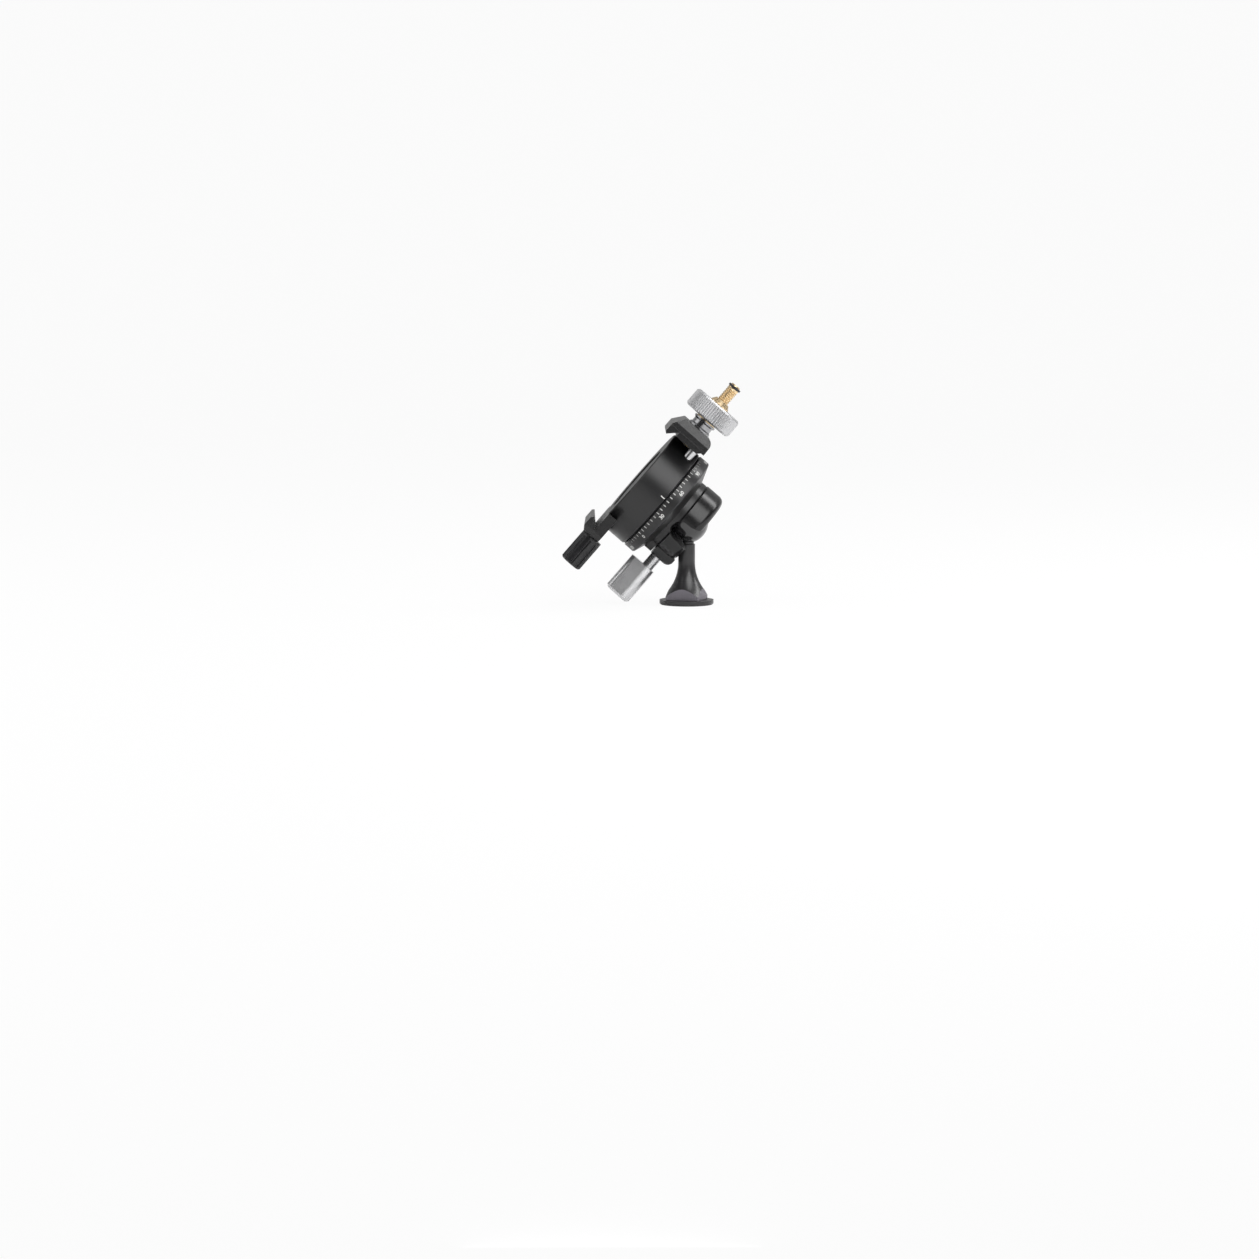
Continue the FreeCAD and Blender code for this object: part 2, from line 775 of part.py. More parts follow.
def make_lock_lever():
    """Silver paddle: a round hub on the screw that narrows, along lines that touch both rounds,
    to a rounded thumb edge."""
    body = head_body("lock_lever")
    tip = "(lever_reach - lever_tip_half)"
    rise = f"((lever_hub_radius - lever_tip_half) / {tip})"
    level = f"sqrt(1 - {rise} ^ 2)"
    corners = [
        (f"-lever_hub_radius * {level}", f"lever_hub_radius * {rise}"),
        (f"lever_hub_radius * {level}", f"lever_hub_radius * {rise}"),
        (f"lever_tip_half * {level}", f"{tip} + lever_tip_half * {rise}"),
        (f"-lever_tip_half * {level}", f"{tip} + lever_tip_half * {rise}"),
    ]
    arcs = {0: ("left", None, "0"), 2: ("left", None, tip)}
    extruded(body, "YZ_Plane", corners, "lever_end - lever_start", arcs, lift="-lever_end")
    bevel_end(body, "lever_bevel", -worked("lever_end"))
    drill(body, "YZ_Plane", [("0", "0")], "lock_screw_radius - lever_bore_step",
          "lever_end - lever_wall - lever_start", lift="-lever_start")
    drill(body, "YZ_Plane", [("0", "0")], "lever_screw_radius + face_gap", "lever_wall * 2",
          lift="-(lever_end - lever_wall)")
    drill(body, "YZ_Plane", [("0", "0")], "lever_screw_head + face_gap", "lever_wall",
          lift="-(lever_end - lever_screw_head_height)")


def make_lever_screw():
    """Small screw in the lever's outer face that holds it on the lock screw."""
    body = head_body("lever_screw")
    seat = "-(lever_end - lever_screw_head_height)"
    turned(body, [
        (f"{seat} + lever_screw_length", "0"),
        (f"{seat} + lever_screw_length", "lever_screw_radius"),
        (seat, "lever_screw_radius"),
        (seat, "lever_screw_head"),
        ("-lever_end", "lever_screw_head"),
        ("-lever_end", "0"),
    ], axis="H_Axis")
    sketch = new_sketch(body, "YZ_Plane", "-lever_end")
    outline(sketch, hexagon("lever_screw_radius"))
    cut(body, sketch, "lever_screw_head_height * 0.7", forward=True)


def bevel_end(body, size, level):
    """Bevels the edges of the end face at a level along X."""
    tip = body.Tip
    names = []
    for number, edge in enumerate(tip.Shape.Edges, start=1):
        box = edge.BoundBox
        if abs(box.XMin - level) < 0.01 and abs(box.XMax - level) < 0.01:
            names.append(f"Edge{number}")
    feature = body.newObject("PartDesign::Chamfer", "Bevel")
    feature.Base = (tip, names)
    feature.Size = worked(size)
    feature.setExpression("Size", bound(size))
    doc.recompute()


# Clamp body and its fixed jaw. They pan on the base.

DRUM_BOTTOM = "(split_height + pan_gap)"
WEB_TOP = "(boss_top - pan_washer_thickness - running_gap)"


def make_clamp_body():
    """The drum: it turns on the boss, has a well for the retainer, a flat seat on top, a step for
    the fixed jaw, and holes for the drive."""
    body = head_body("clamp_body")
    turned(body, [
        ("bearing_radius", DRUM_BOTTOM),
        ("slip_inner", DRUM_BOTTOM),
        ("slip_inner", "split_height + slip_height"),
        ("slip_outer", "split_height + slip_height"),
        ("slip_outer", DRUM_BOTTOM),
        ("drum_radius - drum_edge", DRUM_BOTTOM),
        ("drum_radius", f"{DRUM_BOTTOM} + drum_edge"),
        ("drum_radius", "seat_height - drum_edge"),
        ("drum_radius - drum_edge", "seat_height"),
        ("well_radius", "seat_height"),
        ("well_radius", WEB_TOP),
        ("bearing_radius", WEB_TOP),
    ])
    sketch = new_sketch(body, "XZ_Plane")
    outline(sketch, [
        ("-drum_radius - 1", "fixed_bottom"),
        ("-fixed_step", "fixed_bottom"),
        ("-fixed_step", "seat_height + 1"),
        ("-drum_radius - 1", "seat_height + 1"),
    ])
    cut(body, sketch)
    drive = ("0", "drive_height")
    drill(body, "YZ_Plane", [drive], "drive_radius", "drum_radius", lift="drive_start", forward=True)
    drill(body, "YZ_Plane", [drive], "pocket_radius", "drum_radius",
          lift="drum_radius - pocket_depth", forward=True)
    guides = [("guide_spread", "guide_height"), ("-guide_spread", "guide_height")]
    drill(body, "YZ_Plane", guides, "guide_radius", "drum_radius", lift="guide_start", forward=True)
    drill(body, "YZ_Plane", [("0", "pan_lock_height")], "pan_shoe_radius + running_gap", "drum_radius",
          lift="-retainer_radius")
    tapped = [("-fixed_screw_offset", "fixed_screw_spread"), ("-fixed_screw_offset", "-fixed_screw_spread")]
    drill(body, "XY_Plane", tapped, "fixed_screw_radius",
          "fixed_screw_length - (seat_height - fixed_bottom)", lift="fixed_bottom")


def make_pan_bearing():
    """Bronze bush pressed into the drum, which turns on the boss."""
    body = head_body("pan_bearing")
    turned(body, [
        ("boss_radius + running_gap", f"{DRUM_BOTTOM} + bearing_inset"),
        ("bearing_radius", f"{DRUM_BOTTOM} + bearing_inset"),
        ("bearing_radius", WEB_TOP),
        ("boss_radius + running_gap", WEB_TOP),
    ])


def make_pan_washer():
    """Thin washer between the drum's web and the retainer."""
    body = head_body("pan_washer")
    turned(body, [
        ("bearing_radius - pan_washer_lap", WEB_TOP),
        ("retainer_radius - face_gap", WEB_TOP),
        ("retainer_radius - face_gap", f"{WEB_TOP} + pan_washer_thickness"),
        ("bearing_radius - pan_washer_lap", f"{WEB_TOP} + pan_washer_thickness"),
    ])


def make_slip_ring():
    """Polymer ring in the drum's underside that slides on the flange."""
    body = head_body("slip_ring")
    turned(body, [
        ("slip_inner", "split_height + running_gap"),
        ("slip_outer", "split_height + running_gap"),
        ("slip_outer", "split_height + slip_height"),
        ("slip_inner", "split_height + slip_height"),
    ])


# The claw's underside slopes at 45 degrees, as the plate's dovetail does.
CLAW_LOW = "seat_height + claw_root - claw_tip"


def claw(side):
    """Corners of the hook over the dovetail, from its top outer edge round to the seat."""
    return [
        (f"{side}claw_slant_start", "claw_top"),
        (f"{side}(claw_tip + claw_nose)", "claw_top"),
        (f"{side}claw_tip", "claw_top - claw_nose"),
        (f"{side}claw_tip", CLAW_LOW),
        (f"{side}claw_root", "seat_height"),
    ]


def slant_foot(outer):
    """Height at which the claw's slanting top meets the jaw's outer face."""
    return f"claw_top - ({outer} - claw_slant_start) * tan(claw_slant)"


def cut_facets(body, side, outer):
    """Two narrow facets at each end of a jaw, like a rounded corner cut in flats."""
    for end in ("", "-"):
        sketch = new_sketch(body, "XY_Plane")
        outline(sketch, [
            (f"{side}facet_start", f"{end}jaw_half_length"),
            (f"{side}facet_middle", f"{end}(jaw_half_length - facet_first_depth)"),
            (f"{side}{outer}", f"{end}(jaw_half_length - facet_depth)"),
            (f"{side}({outer} + 1)", f"{end}(jaw_half_length - facet_depth)"),
            (f"{side}({outer} + 1)", f"{end}(jaw_half_length + 1)"),
            (f"{side}facet_start", f"{end}(jaw_half_length + 1)"),
        ])
        cut(body, sketch)


def make_fixed_jaw():
    """The jaw that doesn't move: a bar in the drum's step with a claw along its top."""
    body = head_body("fixed_jaw")
    profile = [
        ("-fixed_step", "fixed_bottom"),
        ("-fixed_outer", "fixed_bottom"),
        ("-fixed_outer", slant_foot("fixed_outer")),
        *claw("-"),
        ("-fixed_step", "seat_height"),
    ]
    extruded(body, "XZ_Plane", profile, "2 * jaw_half_length", both=True)
    cut_facets(body, "-", "fixed_outer")
    drill(body, "YZ_Plane", [("0", "pan_lock_height")], "pan_screw_radius + running_gap",
          "fixed_outer", lift="-fixed_step + 1")
    spots = [("-fixed_screw_offset", "fixed_screw_spread"), ("-fixed_screw_offset", "-fixed_screw_spread")]
    drill(body, "XY_Plane", spots, "fixed_screw_radius + face_gap", "seat_height", lift="seat_height")
    drill(body, "XY_Plane", spots, "fixed_screw_head_radius + face_gap", "fixed_screw_head",
          lift="seat_height")


def make_fixed_jaw_screws():
    """Two screws, sunk flush with the seat, hold the fixed jaw in its step."""
    body = head_body("fixed_jaw_screws")
    spots = [("-fixed_screw_offset", "fixed_screw_spread"), ("-fixed_screw_offset", "-fixed_screw_spread")]
    seat = "seat_height - fixed_screw_head"
    pegs(body, spots, "fixed_screw_head_radius", seat, "seat_height")
    pegs(body, spots, "fixed_screw_radius", "seat_height - fixed_screw_length", seat)
    for end in ("", "-"):
        sketch = new_sketch(body, "XY_Plane", "seat_height")
        socket = hexagon("fixed_screw_radius")
        outline(sketch, [(f"-fixed_screw_offset + {u}", f"{end}fixed_screw_spread + {v}") for u, v in socket])
        cut(body, sketch, "fixed_screw_head * 0.6")


# Moving jaw and its drive.


def make_moving_jaw():
    """The jaw that the nut pushes. It slides on two pins and is opened by a spring."""
    body = head_body("moving_jaw")
    profile = [
        ("jaw_inner + jaw_relief", "jaw_bottom"),
        ("jaw_outer - jaw_round", "jaw_bottom"),
        ("jaw_outer", "jaw_bottom + jaw_round"),
        ("jaw_outer", slant_foot("jaw_outer")),
        *claw(""),
        ("jaw_inner", "seat_height"),
        ("jaw_inner", "jaw_bottom + 2 * jaw_relief"),
        ("jaw_inner + jaw_relief", "jaw_bottom + jaw_relief"),
    ]
    rounding = {1: ("left", None, "jaw_bottom + jaw_round")}
    extruded(body, "XZ_Plane", profile, "2 * jaw_half_length", rounding, both=True)
    cut_facets(body, "", "jaw_outer")
    drive = ("0", "drive_height")
    drill(body, "YZ_Plane", [drive], "drive_radius + drive_room", "jaw_outer", forward=True)
    drill(body, "YZ_Plane", [drive], "pocket_radius", "jaw_inner + pocket_depth", forward=True)
    guides = [("guide_spread", "guide_height"), ("-guide_spread", "guide_height")]
    drill(body, "YZ_Plane", guides, "guide_radius + running_gap", "guide_end + 2 * moving_gap", forward=True)
    drill(body, "YZ_Plane", [drive], "collar_radius", "collar_radius", lift="jaw_outer - collar_seat",
          forward=True)


def drive_body(label):
    """A body drawn about the stud's axis."""
    return head_body(label, z="drive_height")


def make_clamp_stud():
    """Brass stud, fixed in the drum, with a groove near its tip for the stop clip."""
    body = drive_body("clamp_stud")
    outer = "drive_end - clip_inset"
    turned(body, [
        ("drive_start", "0"),
        ("drive_start", "drive_radius"),
        (f"{outer} - clip_width", "drive_radius"),
        (f"{outer} - clip_width", "clip_inner"),
        (outer, "clip_inner"),
        (outer, "drive_radius - clip_inset * 0.4"),
        ("drive_end", "drive_radius - clip_inset"),
        ("drive_end", "0"),
    ], axis="H_Axis")


def make_stud_clip():
    """Dark stop ring near the stud's tip. It keeps the nut from coming off."""
    body = drive_body("stud_clip")
    outer = "drive_end - clip_inset"
    turned(body, [
        (f"{outer} - clip_width", "clip_inner"),
        (f"{outer} - clip_width", "clip_outer"),
        (outer, "clip_outer"),
        (outer, "clip_inner"),
    ], axis="H_Axis")


def make_guide_pins():
    """Two steel pins, pressed into the drum, that keep the moving jaw square."""
    body = head_body("guide_pins")
    spots = [("guide_spread", "guide_height"), ("-guide_spread", "guide_height")]
    pegs(body, spots, "guide_radius", "guide_start", "guide_end", role="YZ_Plane")


def make_jaw_spring():
    """Coil spring round the stud, between the drum's pocket and the jaw's. It is one tube along a
    helix, and the least gap between its turns is printed."""
    start = "drum_radius - pocket_depth + coil_wire"
    length = worked(f"jaw_inner + pocket_depth - coil_wire - ({start})")
    radius = worked("coil_radius")
    pitch = length / worked("coil_turns")
    helix = Part.makeHelix(pitch, length, radius)
    wire = Part.Wire(Part.Edge(Part.Circle(Vector(radius, 0, 0), Vector(0, 1, 0), worked("coil_wire"))))
    tube = Part.Wire(helix).makePipeShell([wire], True, True)
    print("gap between the spring's turns", round(pitch - 2 * worked("coil_wire"), 3))
    plain_piece("jaw_spring", tube, in_head(start, "0", "drive_height"), "90 - tilt_angle")


def make_knob_collar():
    """Silver collar let into the jaw. The nut pushes on it through the washer."""
    body = drive_body("knob_collar")
    bore = "drive_radius + drive_room"
    start = "jaw_outer - collar_seat"
    end = "knob_start - thrust_thickness"
    turned(body, [
        (start, bore),
        (start, "collar_radius"),
        ("jaw_outer + collar_lip", "collar_radius"),
        ("jaw_outer + 2 * collar_lip", "collar_waist"),
        (f"{end} - 2 * collar_lip", "collar_waist"),
        (f"{end} - collar_lip", "collar_radius"),
        (end, "collar_radius"),
        (end, bore),
    ], axis="H_Axis")


def make_thrust_washer():
    """Brass washer that the nut turns against."""
    body = drive_body("thrust_washer")
    turned(body, [
        ("knob_start - thrust_thickness", "drive_radius + drive_room"),
        ("knob_start - thrust_thickness", "collar_waist"),
        ("knob_start", "collar_waist"),
        ("knob_start", "drive_radius + drive_room"),
    ], axis="H_Axis")


def toothed(radius, depth, teeth, length):
    """A prism along X whose outline is a ring of pointed teeth."""
    points = []
    for number in range(2 * teeth):
        angle = math.pi * number / teeth
        reach = radius if number % 2 else radius - depth
        points.append(Vector(0, reach * math.cos(angle), reach * math.sin(angle)))
    points.append(points[0])
    return Part.Face(Part.makePolygon(points)).extrude(Vector(length, 0, 0))


def make_clamp_knob():
    """Silver nut with a finely knurled rim and bevelled edges, bored for its brass bush."""
    radius = worked("knob_radius")
    thickness = worked("knob_thickness")
    bevel = worked("knob_bevel")
    rim = toothed(radius, worked("knurl_depth"), int(worked("knob_teeth")), thickness)
    along = Vector(1, 0, 0)
    blank = Part.makeCone(radius - bevel, radius, bevel, Vector(0, 0, 0), along)
    blank = blank.fuse(Part.makeCylinder(radius, thickness - 2 * bevel, Vector(bevel, 0, 0), along))
    blank = blank.fuse(Part.makeCone(radius, radius - bevel, bevel, Vector(thickness - bevel, 0, 0), along))
    shape = rim.common(blank.removeSplitter())
    shape = shape.cut(Part.makeCylinder(worked("bush_radius - bush_lip"), thickness, Vector(0, 0, 0), along))
    plain_piece("clamp_knob", shape.Solids[0], in_head("knob_start + running_gap", "0", "drive_height"))


def make_knob_bush():
    """Brass bush in the nut, threaded for the stud, with a conical nose outside."""
    body = drive_body("knob_bush")
    face = "knob_start + running_gap + knob_thickness"
    bore = "drive_radius + running_gap"
    turned(body, [
        ("knob_start + running_gap", bore),
        ("knob_start + running_gap", "bush_radius - bush_lip"),
        (face, "bush_radius - bush_lip"),
        (face, "bush_radius"),
        (f"{face} + bush_lip", "bush_radius"),
        (f"{face} + bush_nose", "bush_nose_radius"),
        (f"{face} + bush_nose", bore),
    ], axis="H_Axis")


# Pan lock. The knob's screw pushes the plug into the retainer's groove.


def lock_body(label):
    """A body drawn about the pan lock's axis."""
    return head_body(label, z="pan_lock_height")


def make_pan_shoe():
    """Brass plug with a blunt cone that fits the groove."""
    body = lock_body("pan_shoe")
    tip = "retainer_radius - groove_depth + pan_shoe_stand"
    cone = "(pan_shoe_radius - pan_shoe_tip) * groove_depth / groove_half_width"
    turned(body, [
        (f"-({tip})", "0"),
        (f"-({tip})", "pan_shoe_tip"),
        (f"-({tip} + {cone})", "pan_shoe_radius"),
        ("-pan_shoe_tail", "pan_shoe_radius"),
        ("-pan_shoe_tail", "0"),
    ], axis="H_Axis")


def make_pan_screw():
    """Screw of the pan knob, through the fixed jaw."""
    body = lock_body("pan_screw")
    turned(body, [
        ("-pan_shoe_tail", "0"),
        ("-pan_shoe_tail", "pan_screw_radius"),
        ("-pan_screw_end", "pan_screw_radius"),
        ("-pan_screw_end", "0"),
    ], axis="H_Axis")


def make_pan_knob():
    """Black knob moulded on the screw, with shallow flutes for the fingers."""
    radius = worked("pan_knob_radius")
    length = worked("pan_knob_end - pan_knob_start")
    bevel = worked("pan_knob_bevel")
    along = Vector(1, 0, 0)
    shape = Part.makeCone(radius - bevel, radius, bevel, Vector(0, 0, 0), along)
    shape = shape.fuse(Part.makeCylinder(radius, length - bevel, Vector(bevel, 0, 0), along)).removeSplitter()
    flutes = int(worked("pan_knob_flutes"))
    depth = worked("pan_knob_flute")
    for number in range(flutes):
        angle = 2 * math.pi * number / flutes
        middle = Vector(-2 * bevel, radius * math.cos(angle), radius * math.sin(angle))
        shape = shape.cut(Part.makeCylinder(depth, length, middle, along))
    shape = shape.cut(Part.makeCylinder(worked("pan_screw_radius"), worked("pan_screw_end - pan_knob_start"),
                                        Vector(worked("pan_knob_end - pan_screw_end"), 0, 0), along))
    plain_piece("pan_knob", shape.Solids[0], in_head("-pan_knob_end", "0", "pan_lock_height"))


def build():
    """Makes every piece in turn."""
    make_foot()
    make_thread_insert()
    make_stem_stud()
    make_ball()
    make_upper_seat()
    make_ball_housing()
    make_lower_seat()
    make_seat_spring()
    make_pan_base()
    make_base_screws()
    make_pan_retainer()
    make_retainer_screws()
    make_lock_shoe()
    make_lock_screw()
    make_lock_lever()
    make_lever_screw()
    make_clamp_body()
    make_pan_bearing()
    make_pan_washer()
    make_slip_ring()
    make_fixed_jaw()
    make_fixed_jaw_screws()
    make_moving_jaw()
    make_clamp_stud()
    make_stud_clip()
    make_guide_pins()
    make_jaw_spring()
    make_knob_collar()
    make_thrust_washer()
    make_clamp_knob()
    make_knob_bush()
    make_pan_shoe()
    make_pan_screw()
    make_pan_knob()


def check():
    """Stops before anything is written if an object failed or a piece isn't a sound solid."""
    doc.recompute()
    for item in doc.Objects:
        if "Invalid" in item.State or "Error" in item.State:
            raise RuntimeError(f"{item.Label} failed: {item.State}")
    for node in NODES:
        shape = node.Shape
        if shape.isNull() or not shape.isValid() or not shape.Solids:
            raise RuntimeError(f"{node.Label} isn't a sound solid")
        if any(solid.Volume <= 0 for solid in shape.Solids):
            raise RuntimeError(f"{node.Label} is inside out")


def write():
    """One file for each node."""
    os.makedirs("parts", exist_ok=True)
    for node in NODES:
        node.Shape.exportStep(f"parts/{node.Label}.step")
        print(f"{node.Label:18s} solids {len(node.Shape.Solids)}  volume {node.Shape.Volume:9.2f}")


build()
check()
write()
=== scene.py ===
# %% [markdown]
# # A small ball head for a tripod
#
# The object is a tripod's ball head of the upside-down kind: the ball stands on a stem, and the
# housing, the panning base and the dovetail clamp hang over it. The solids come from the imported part,
# which is the fixed frame. Here they get their finishes, and the pieces that need real threads, wound
# wire or printed numbers are made as meshes of their own.

import math

import bmesh
import bpy
from mathutils import Matrix, Vector


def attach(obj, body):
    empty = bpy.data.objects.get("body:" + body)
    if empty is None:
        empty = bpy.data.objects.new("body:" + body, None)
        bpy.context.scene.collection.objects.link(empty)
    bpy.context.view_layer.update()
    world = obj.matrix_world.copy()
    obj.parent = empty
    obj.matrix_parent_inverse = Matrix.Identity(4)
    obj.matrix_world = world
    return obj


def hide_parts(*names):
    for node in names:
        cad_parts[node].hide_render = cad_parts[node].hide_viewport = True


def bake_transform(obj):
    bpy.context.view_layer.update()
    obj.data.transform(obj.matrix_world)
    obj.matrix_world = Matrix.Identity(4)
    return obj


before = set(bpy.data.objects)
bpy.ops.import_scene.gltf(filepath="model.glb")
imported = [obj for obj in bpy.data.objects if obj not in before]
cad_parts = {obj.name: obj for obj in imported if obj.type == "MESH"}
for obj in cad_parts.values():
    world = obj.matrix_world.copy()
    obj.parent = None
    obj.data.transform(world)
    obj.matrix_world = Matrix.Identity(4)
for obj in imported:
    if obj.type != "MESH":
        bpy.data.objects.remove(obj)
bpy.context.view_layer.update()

# %% [markdown]
# Everything above the ball leans over by 49 degrees about the ball's centre. One matrix carries the
# head's own axes to the frame, so that a ring, a number or a thread can be drawn straight in the head's
# millimetres: X towards the clamp knob, Y away from the viewer and Z up along the head's axis.

# %% The head's axes
MM = 0.001
TILT = math.radians(49)
BALL_CENTRE = Vector((0, 0, 27.6 * MM))
HEAD = Matrix.Translation(BALL_CENTRE) @ Matrix.Rotation(-TILT, 4, "Y") @ Matrix.Scale(MM, 4)
ACROSS = Vector((math.cos(TILT), 0, math.sin(TILT)))
UP_HEAD = Vector((-math.sin(TILT), 0, math.cos(TILT)))
DRIVE_HEIGHT = 17.2
PAN_LOCK_HEIGHT = 20.2


def in_head(x, y, z):
    """A point of the head's own axes, in millimetres, as a point of the frame."""
    return HEAD @ Vector((x, y, z))


print("head's axis in the frame", [round(value, 3) for value in UP_HEAD])

# %% [markdown]
# A finish is a small tree of nodes. Wiring it by hand takes five lines for one sum, so a tiny class
# wraps a socket: `1 - mask * 0.5` then adds its own Math nodes. Every other node comes from the one
# method `node`, which is given the node's type, its settings and the values or wires of its sockets.

# %% The wire class
class Wire:
    """A socket of a finish, with Python's operators for shader maths."""

    def __init__(self, tree, socket=None):
        self.tree = tree
        self.socket = socket

    def node(self, kind, settings=None, sockets=None, out=0):
        made = self.tree.nodes.new("ShaderNode" + kind)
        for name, value in (settings or {}).items():
            if name == "stops":
                ramp = made.color_ramp.elements
                while len(ramp) < len(value):
                    ramp.new(0.5)
                for stop, (spot, shade) in zip(ramp, value):
                    stop.position = spot
                    stop.color = (*shade, 1)
            else:
                setattr(made, name, value)
        for name, value in (sockets or {}).items():
            if isinstance(value, Wire):
                self.tree.links.new(value.socket, made.inputs[name])
            else:
                made.inputs[name].default_value = value
        return Wire(self.tree, made.outputs[out])

    def maths(self, operation, first, second):
        return self.node("Math", {"operation": operation}, {0: first, 1: second})

    def __add__(self, other):
        return self.maths("ADD", self, other)

    __radd__ = __add__

    def __sub__(self, other):
        return self.maths("SUBTRACT", self, other)

    def __rsub__(self, other):
        return self.maths("SUBTRACT", other, self)

    def __mul__(self, other):
        return self.maths("MULTIPLY", self, other)

    __rmul__ = __mul__

    def __pow__(self, power):
        return self.maths("POWER", self, power)

    def __gt__(self, level):
        return self.maths("GREATER_THAN", self, level)

    def into(self, name):
        shader = self.tree.nodes["Principled BSDF"]
        self.tree.links.new(self.socket, shader.inputs[name])


def new_finish(name, **plain):
    """A material whose even values are set on the shader itself, and the wire of its own coordinates."""
    made = bpy.data.materials.new(name)
    made.use_nodes = True
    shader = made.node_tree.nodes["Principled BSDF"]
    for socket, value in plain.items():
        shader.inputs[socket.replace("_", " ")].default_value = value
    place = Wire(made.node_tree).node("TexCoord", out="Object")
    return made, place


print("shader helpers ready")

# %% [markdown]
# Metal that was turned on a lathe carries rings about its axis. They are made from two numbers that
# every point has: how far along the axis it lies, and how far from it. A noise read at those two numbers
# has the same value all the way round, which is just what a ring is. Milled and ground faces carry
# straight streaks instead, which is the same noise stretched along one direction.

# %% Marks of the tools
def measure(place, axis, point):
    """How far along an axis through a point, and how far from it, in metres."""
    offset = place.node("VectorMath", {"operation": "SUBTRACT"}, {0: place, 1: point})
    along = place.node("VectorMath", {"operation": "DOT_PRODUCT"}, {0: offset, 1: axis}, "Value")
    reach = place.node("VectorMath", {"operation": "LENGTH"}, {0: offset}, "Value")
    return along, (reach ** 2 - along ** 2) ** 0.5


def rings(place, axis, point, per_mm):
    """Fine rings about an axis, as a lathe leaves them: 0 to 1."""
    along, reach = measure(place, axis, point)
    spot = place.node("CombineXYZ", sockets={0: along * 1000, 1: reach * 1000})
    return place.node("TexNoise", {"noise_dimensions": "2D"},
                      {"Vector": spot, "Scale": per_mm, "Detail": 3.0, "Roughness": 0.6})


def streaks(place, along, across, per_mm):
    """Fine straight streaks along one direction, as a mill or a grinding belt leaves them."""
    over = place.node("VectorMath", {"operation": "DOT_PRODUCT"}, {0: place, 1: across}, "Value")
    down = place.node("VectorMath", {"operation": "DOT_PRODUCT"}, {0: place, 1: along}, "Value")
    side = Vector(along).cross(Vector(across))
    third = place.node("VectorMath", {"operation": "DOT_PRODUCT"}, {0: place, 1: side}, "Value")
    spot = place.node("CombineXYZ", sockets={0: down * 30, 1: over * 1000, 2: third * 1000})
    return place.node("TexNoise", {}, {"Vector": spot, "Scale": per_mm, "Detail": 3.0})


def clouds(place, per_mm, detail=2.0):
    """Soft patches, for what handling and uneven baths do to a finish."""
    return place.node("TexNoise", {}, {"Vector": place, "Scale": 1000 * per_mm, "Detail": detail})


def mix(place, share, first, second):
    """The colour first where share is 0 and second where it is 1."""
    return place.node("MixRGB", {}, {0: share, 1: first, 2: second})


print("tool marks ready")

# %% [markdown]
# No real edge is a knife edge. The Bevel node bends the normals near an edge as a small round would, so
# edges catch a line of light without any new faces. Where that bent normal leaves the face's own, the
# point lies on an edge: the same node tells where a black finish has worn to bare metal.

# %% Edges
def rounded(place, radius):
    """Normals of edges that are broken by that radius, in metres."""
    return place.node("Bevel", {"samples": 4}, {"Radius": radius})


def near_edge(place, normal):
    """1 on an edge and 0 on the open face."""
    face = place.node("NewGeometry", out="Normal")
    same = place.node("VectorMath", {"operation": "DOT_PRODUCT"}, {0: normal, 1: face}, "Value")
    return place.node("MapRange", {"clamp": True},
                      {"Value": 1 - same, "From Min": 0.02, "From Max": 0.3})


def bump(place, height, depth, strength, normal):
    """The normal with fine relief on it. Depth is in metres."""
    return place.node("Bump", {},
                      {"Height": height, "Distance": depth, "Strength": strength, "Normal": normal})


print("edge helpers ready")

# %% [markdown]
# ## Black anodised aluminium
#
# The housing, base, drum, jaws and foot are aluminium with a black anodised skin: dark, a little
# glossy, never quite even. Bare metal shows in thin worn lines on the corners. One recipe makes all of
# them, and only the marks under the skin differ: rings about the head's axis, rings about the stem, or
# streaks along the jaws.

# %% Black anodising
def black_anodised(name, marks, shade=0.009, gloss=0.3, wear=0.4, round_edge=0.12):
    made, place = new_finish(name, IOR=1.5)
    grain = marks(place)
    patches = clouds(place, 0.16)
    fine = clouds(place, 9.0)
    edge = rounded(place, round_edge * MM)
    worn = near_edge(place, edge) * (clouds(place, 0.9, 4.0) > 0.5) * wear
    dark = (shade, shade, shade * 1.06, 1)
    light = (shade * 1.9, shade * 1.85, shade * 1.9, 1)
    skin = mix(place, patches * 0.55 + grain * 0.45, dark, light)
    mix(place, worn, skin, (0.22, 0.215, 0.21, 1)).into("Base Color")
    (gloss - 0.07 + patches * 0.08 + grain * 0.1 - worn * 0.1).into("Roughness")
    (worn * 0.8).into("Metallic")
    bump(place, grain * 0.8 + fine * 0.2, 0.02 * MM, 0.35, edge).into("Normal")
    return made


def head_rings(place):
    return rings(place, UP_HEAD, BALL_CENTRE, 5.0)


def foot_rings(place):
    return rings(place, Vector((0, 0, 1)), Vector((0, 0, 0)), 5.0)


def jaw_streaks(place):
    return streaks(place, Vector((0, 1, 0)), UP_HEAD, 5.0)


turned_black = black_anodised("turned_black", head_rings)
housing_black = black_anodised("housing_black", head_rings, 0.006, 0.22, 0.3)
milled_black = black_anodised("milled_black", jaw_streaks, 0.005, 0.24, 0.5)
print("black finishes:", turned_black.name, housing_black.name, milled_black.name)

# %% [markdown]
# The foot is turned, and its four wrench flats are milled, so they are duller than the trumpet. Their
# paler, purple-grey colour is painted sheen, standing in for the light the flat faces catch. A point lies
# on a flat where it is exactly as far from the stem's axis, square to the flat, as the flat is. That
# needs only the two turned directions of the flats.

# %% The foot's finish
FLAT_OFFSET = 5.6
FLAT_TURN = math.radians(17.6)


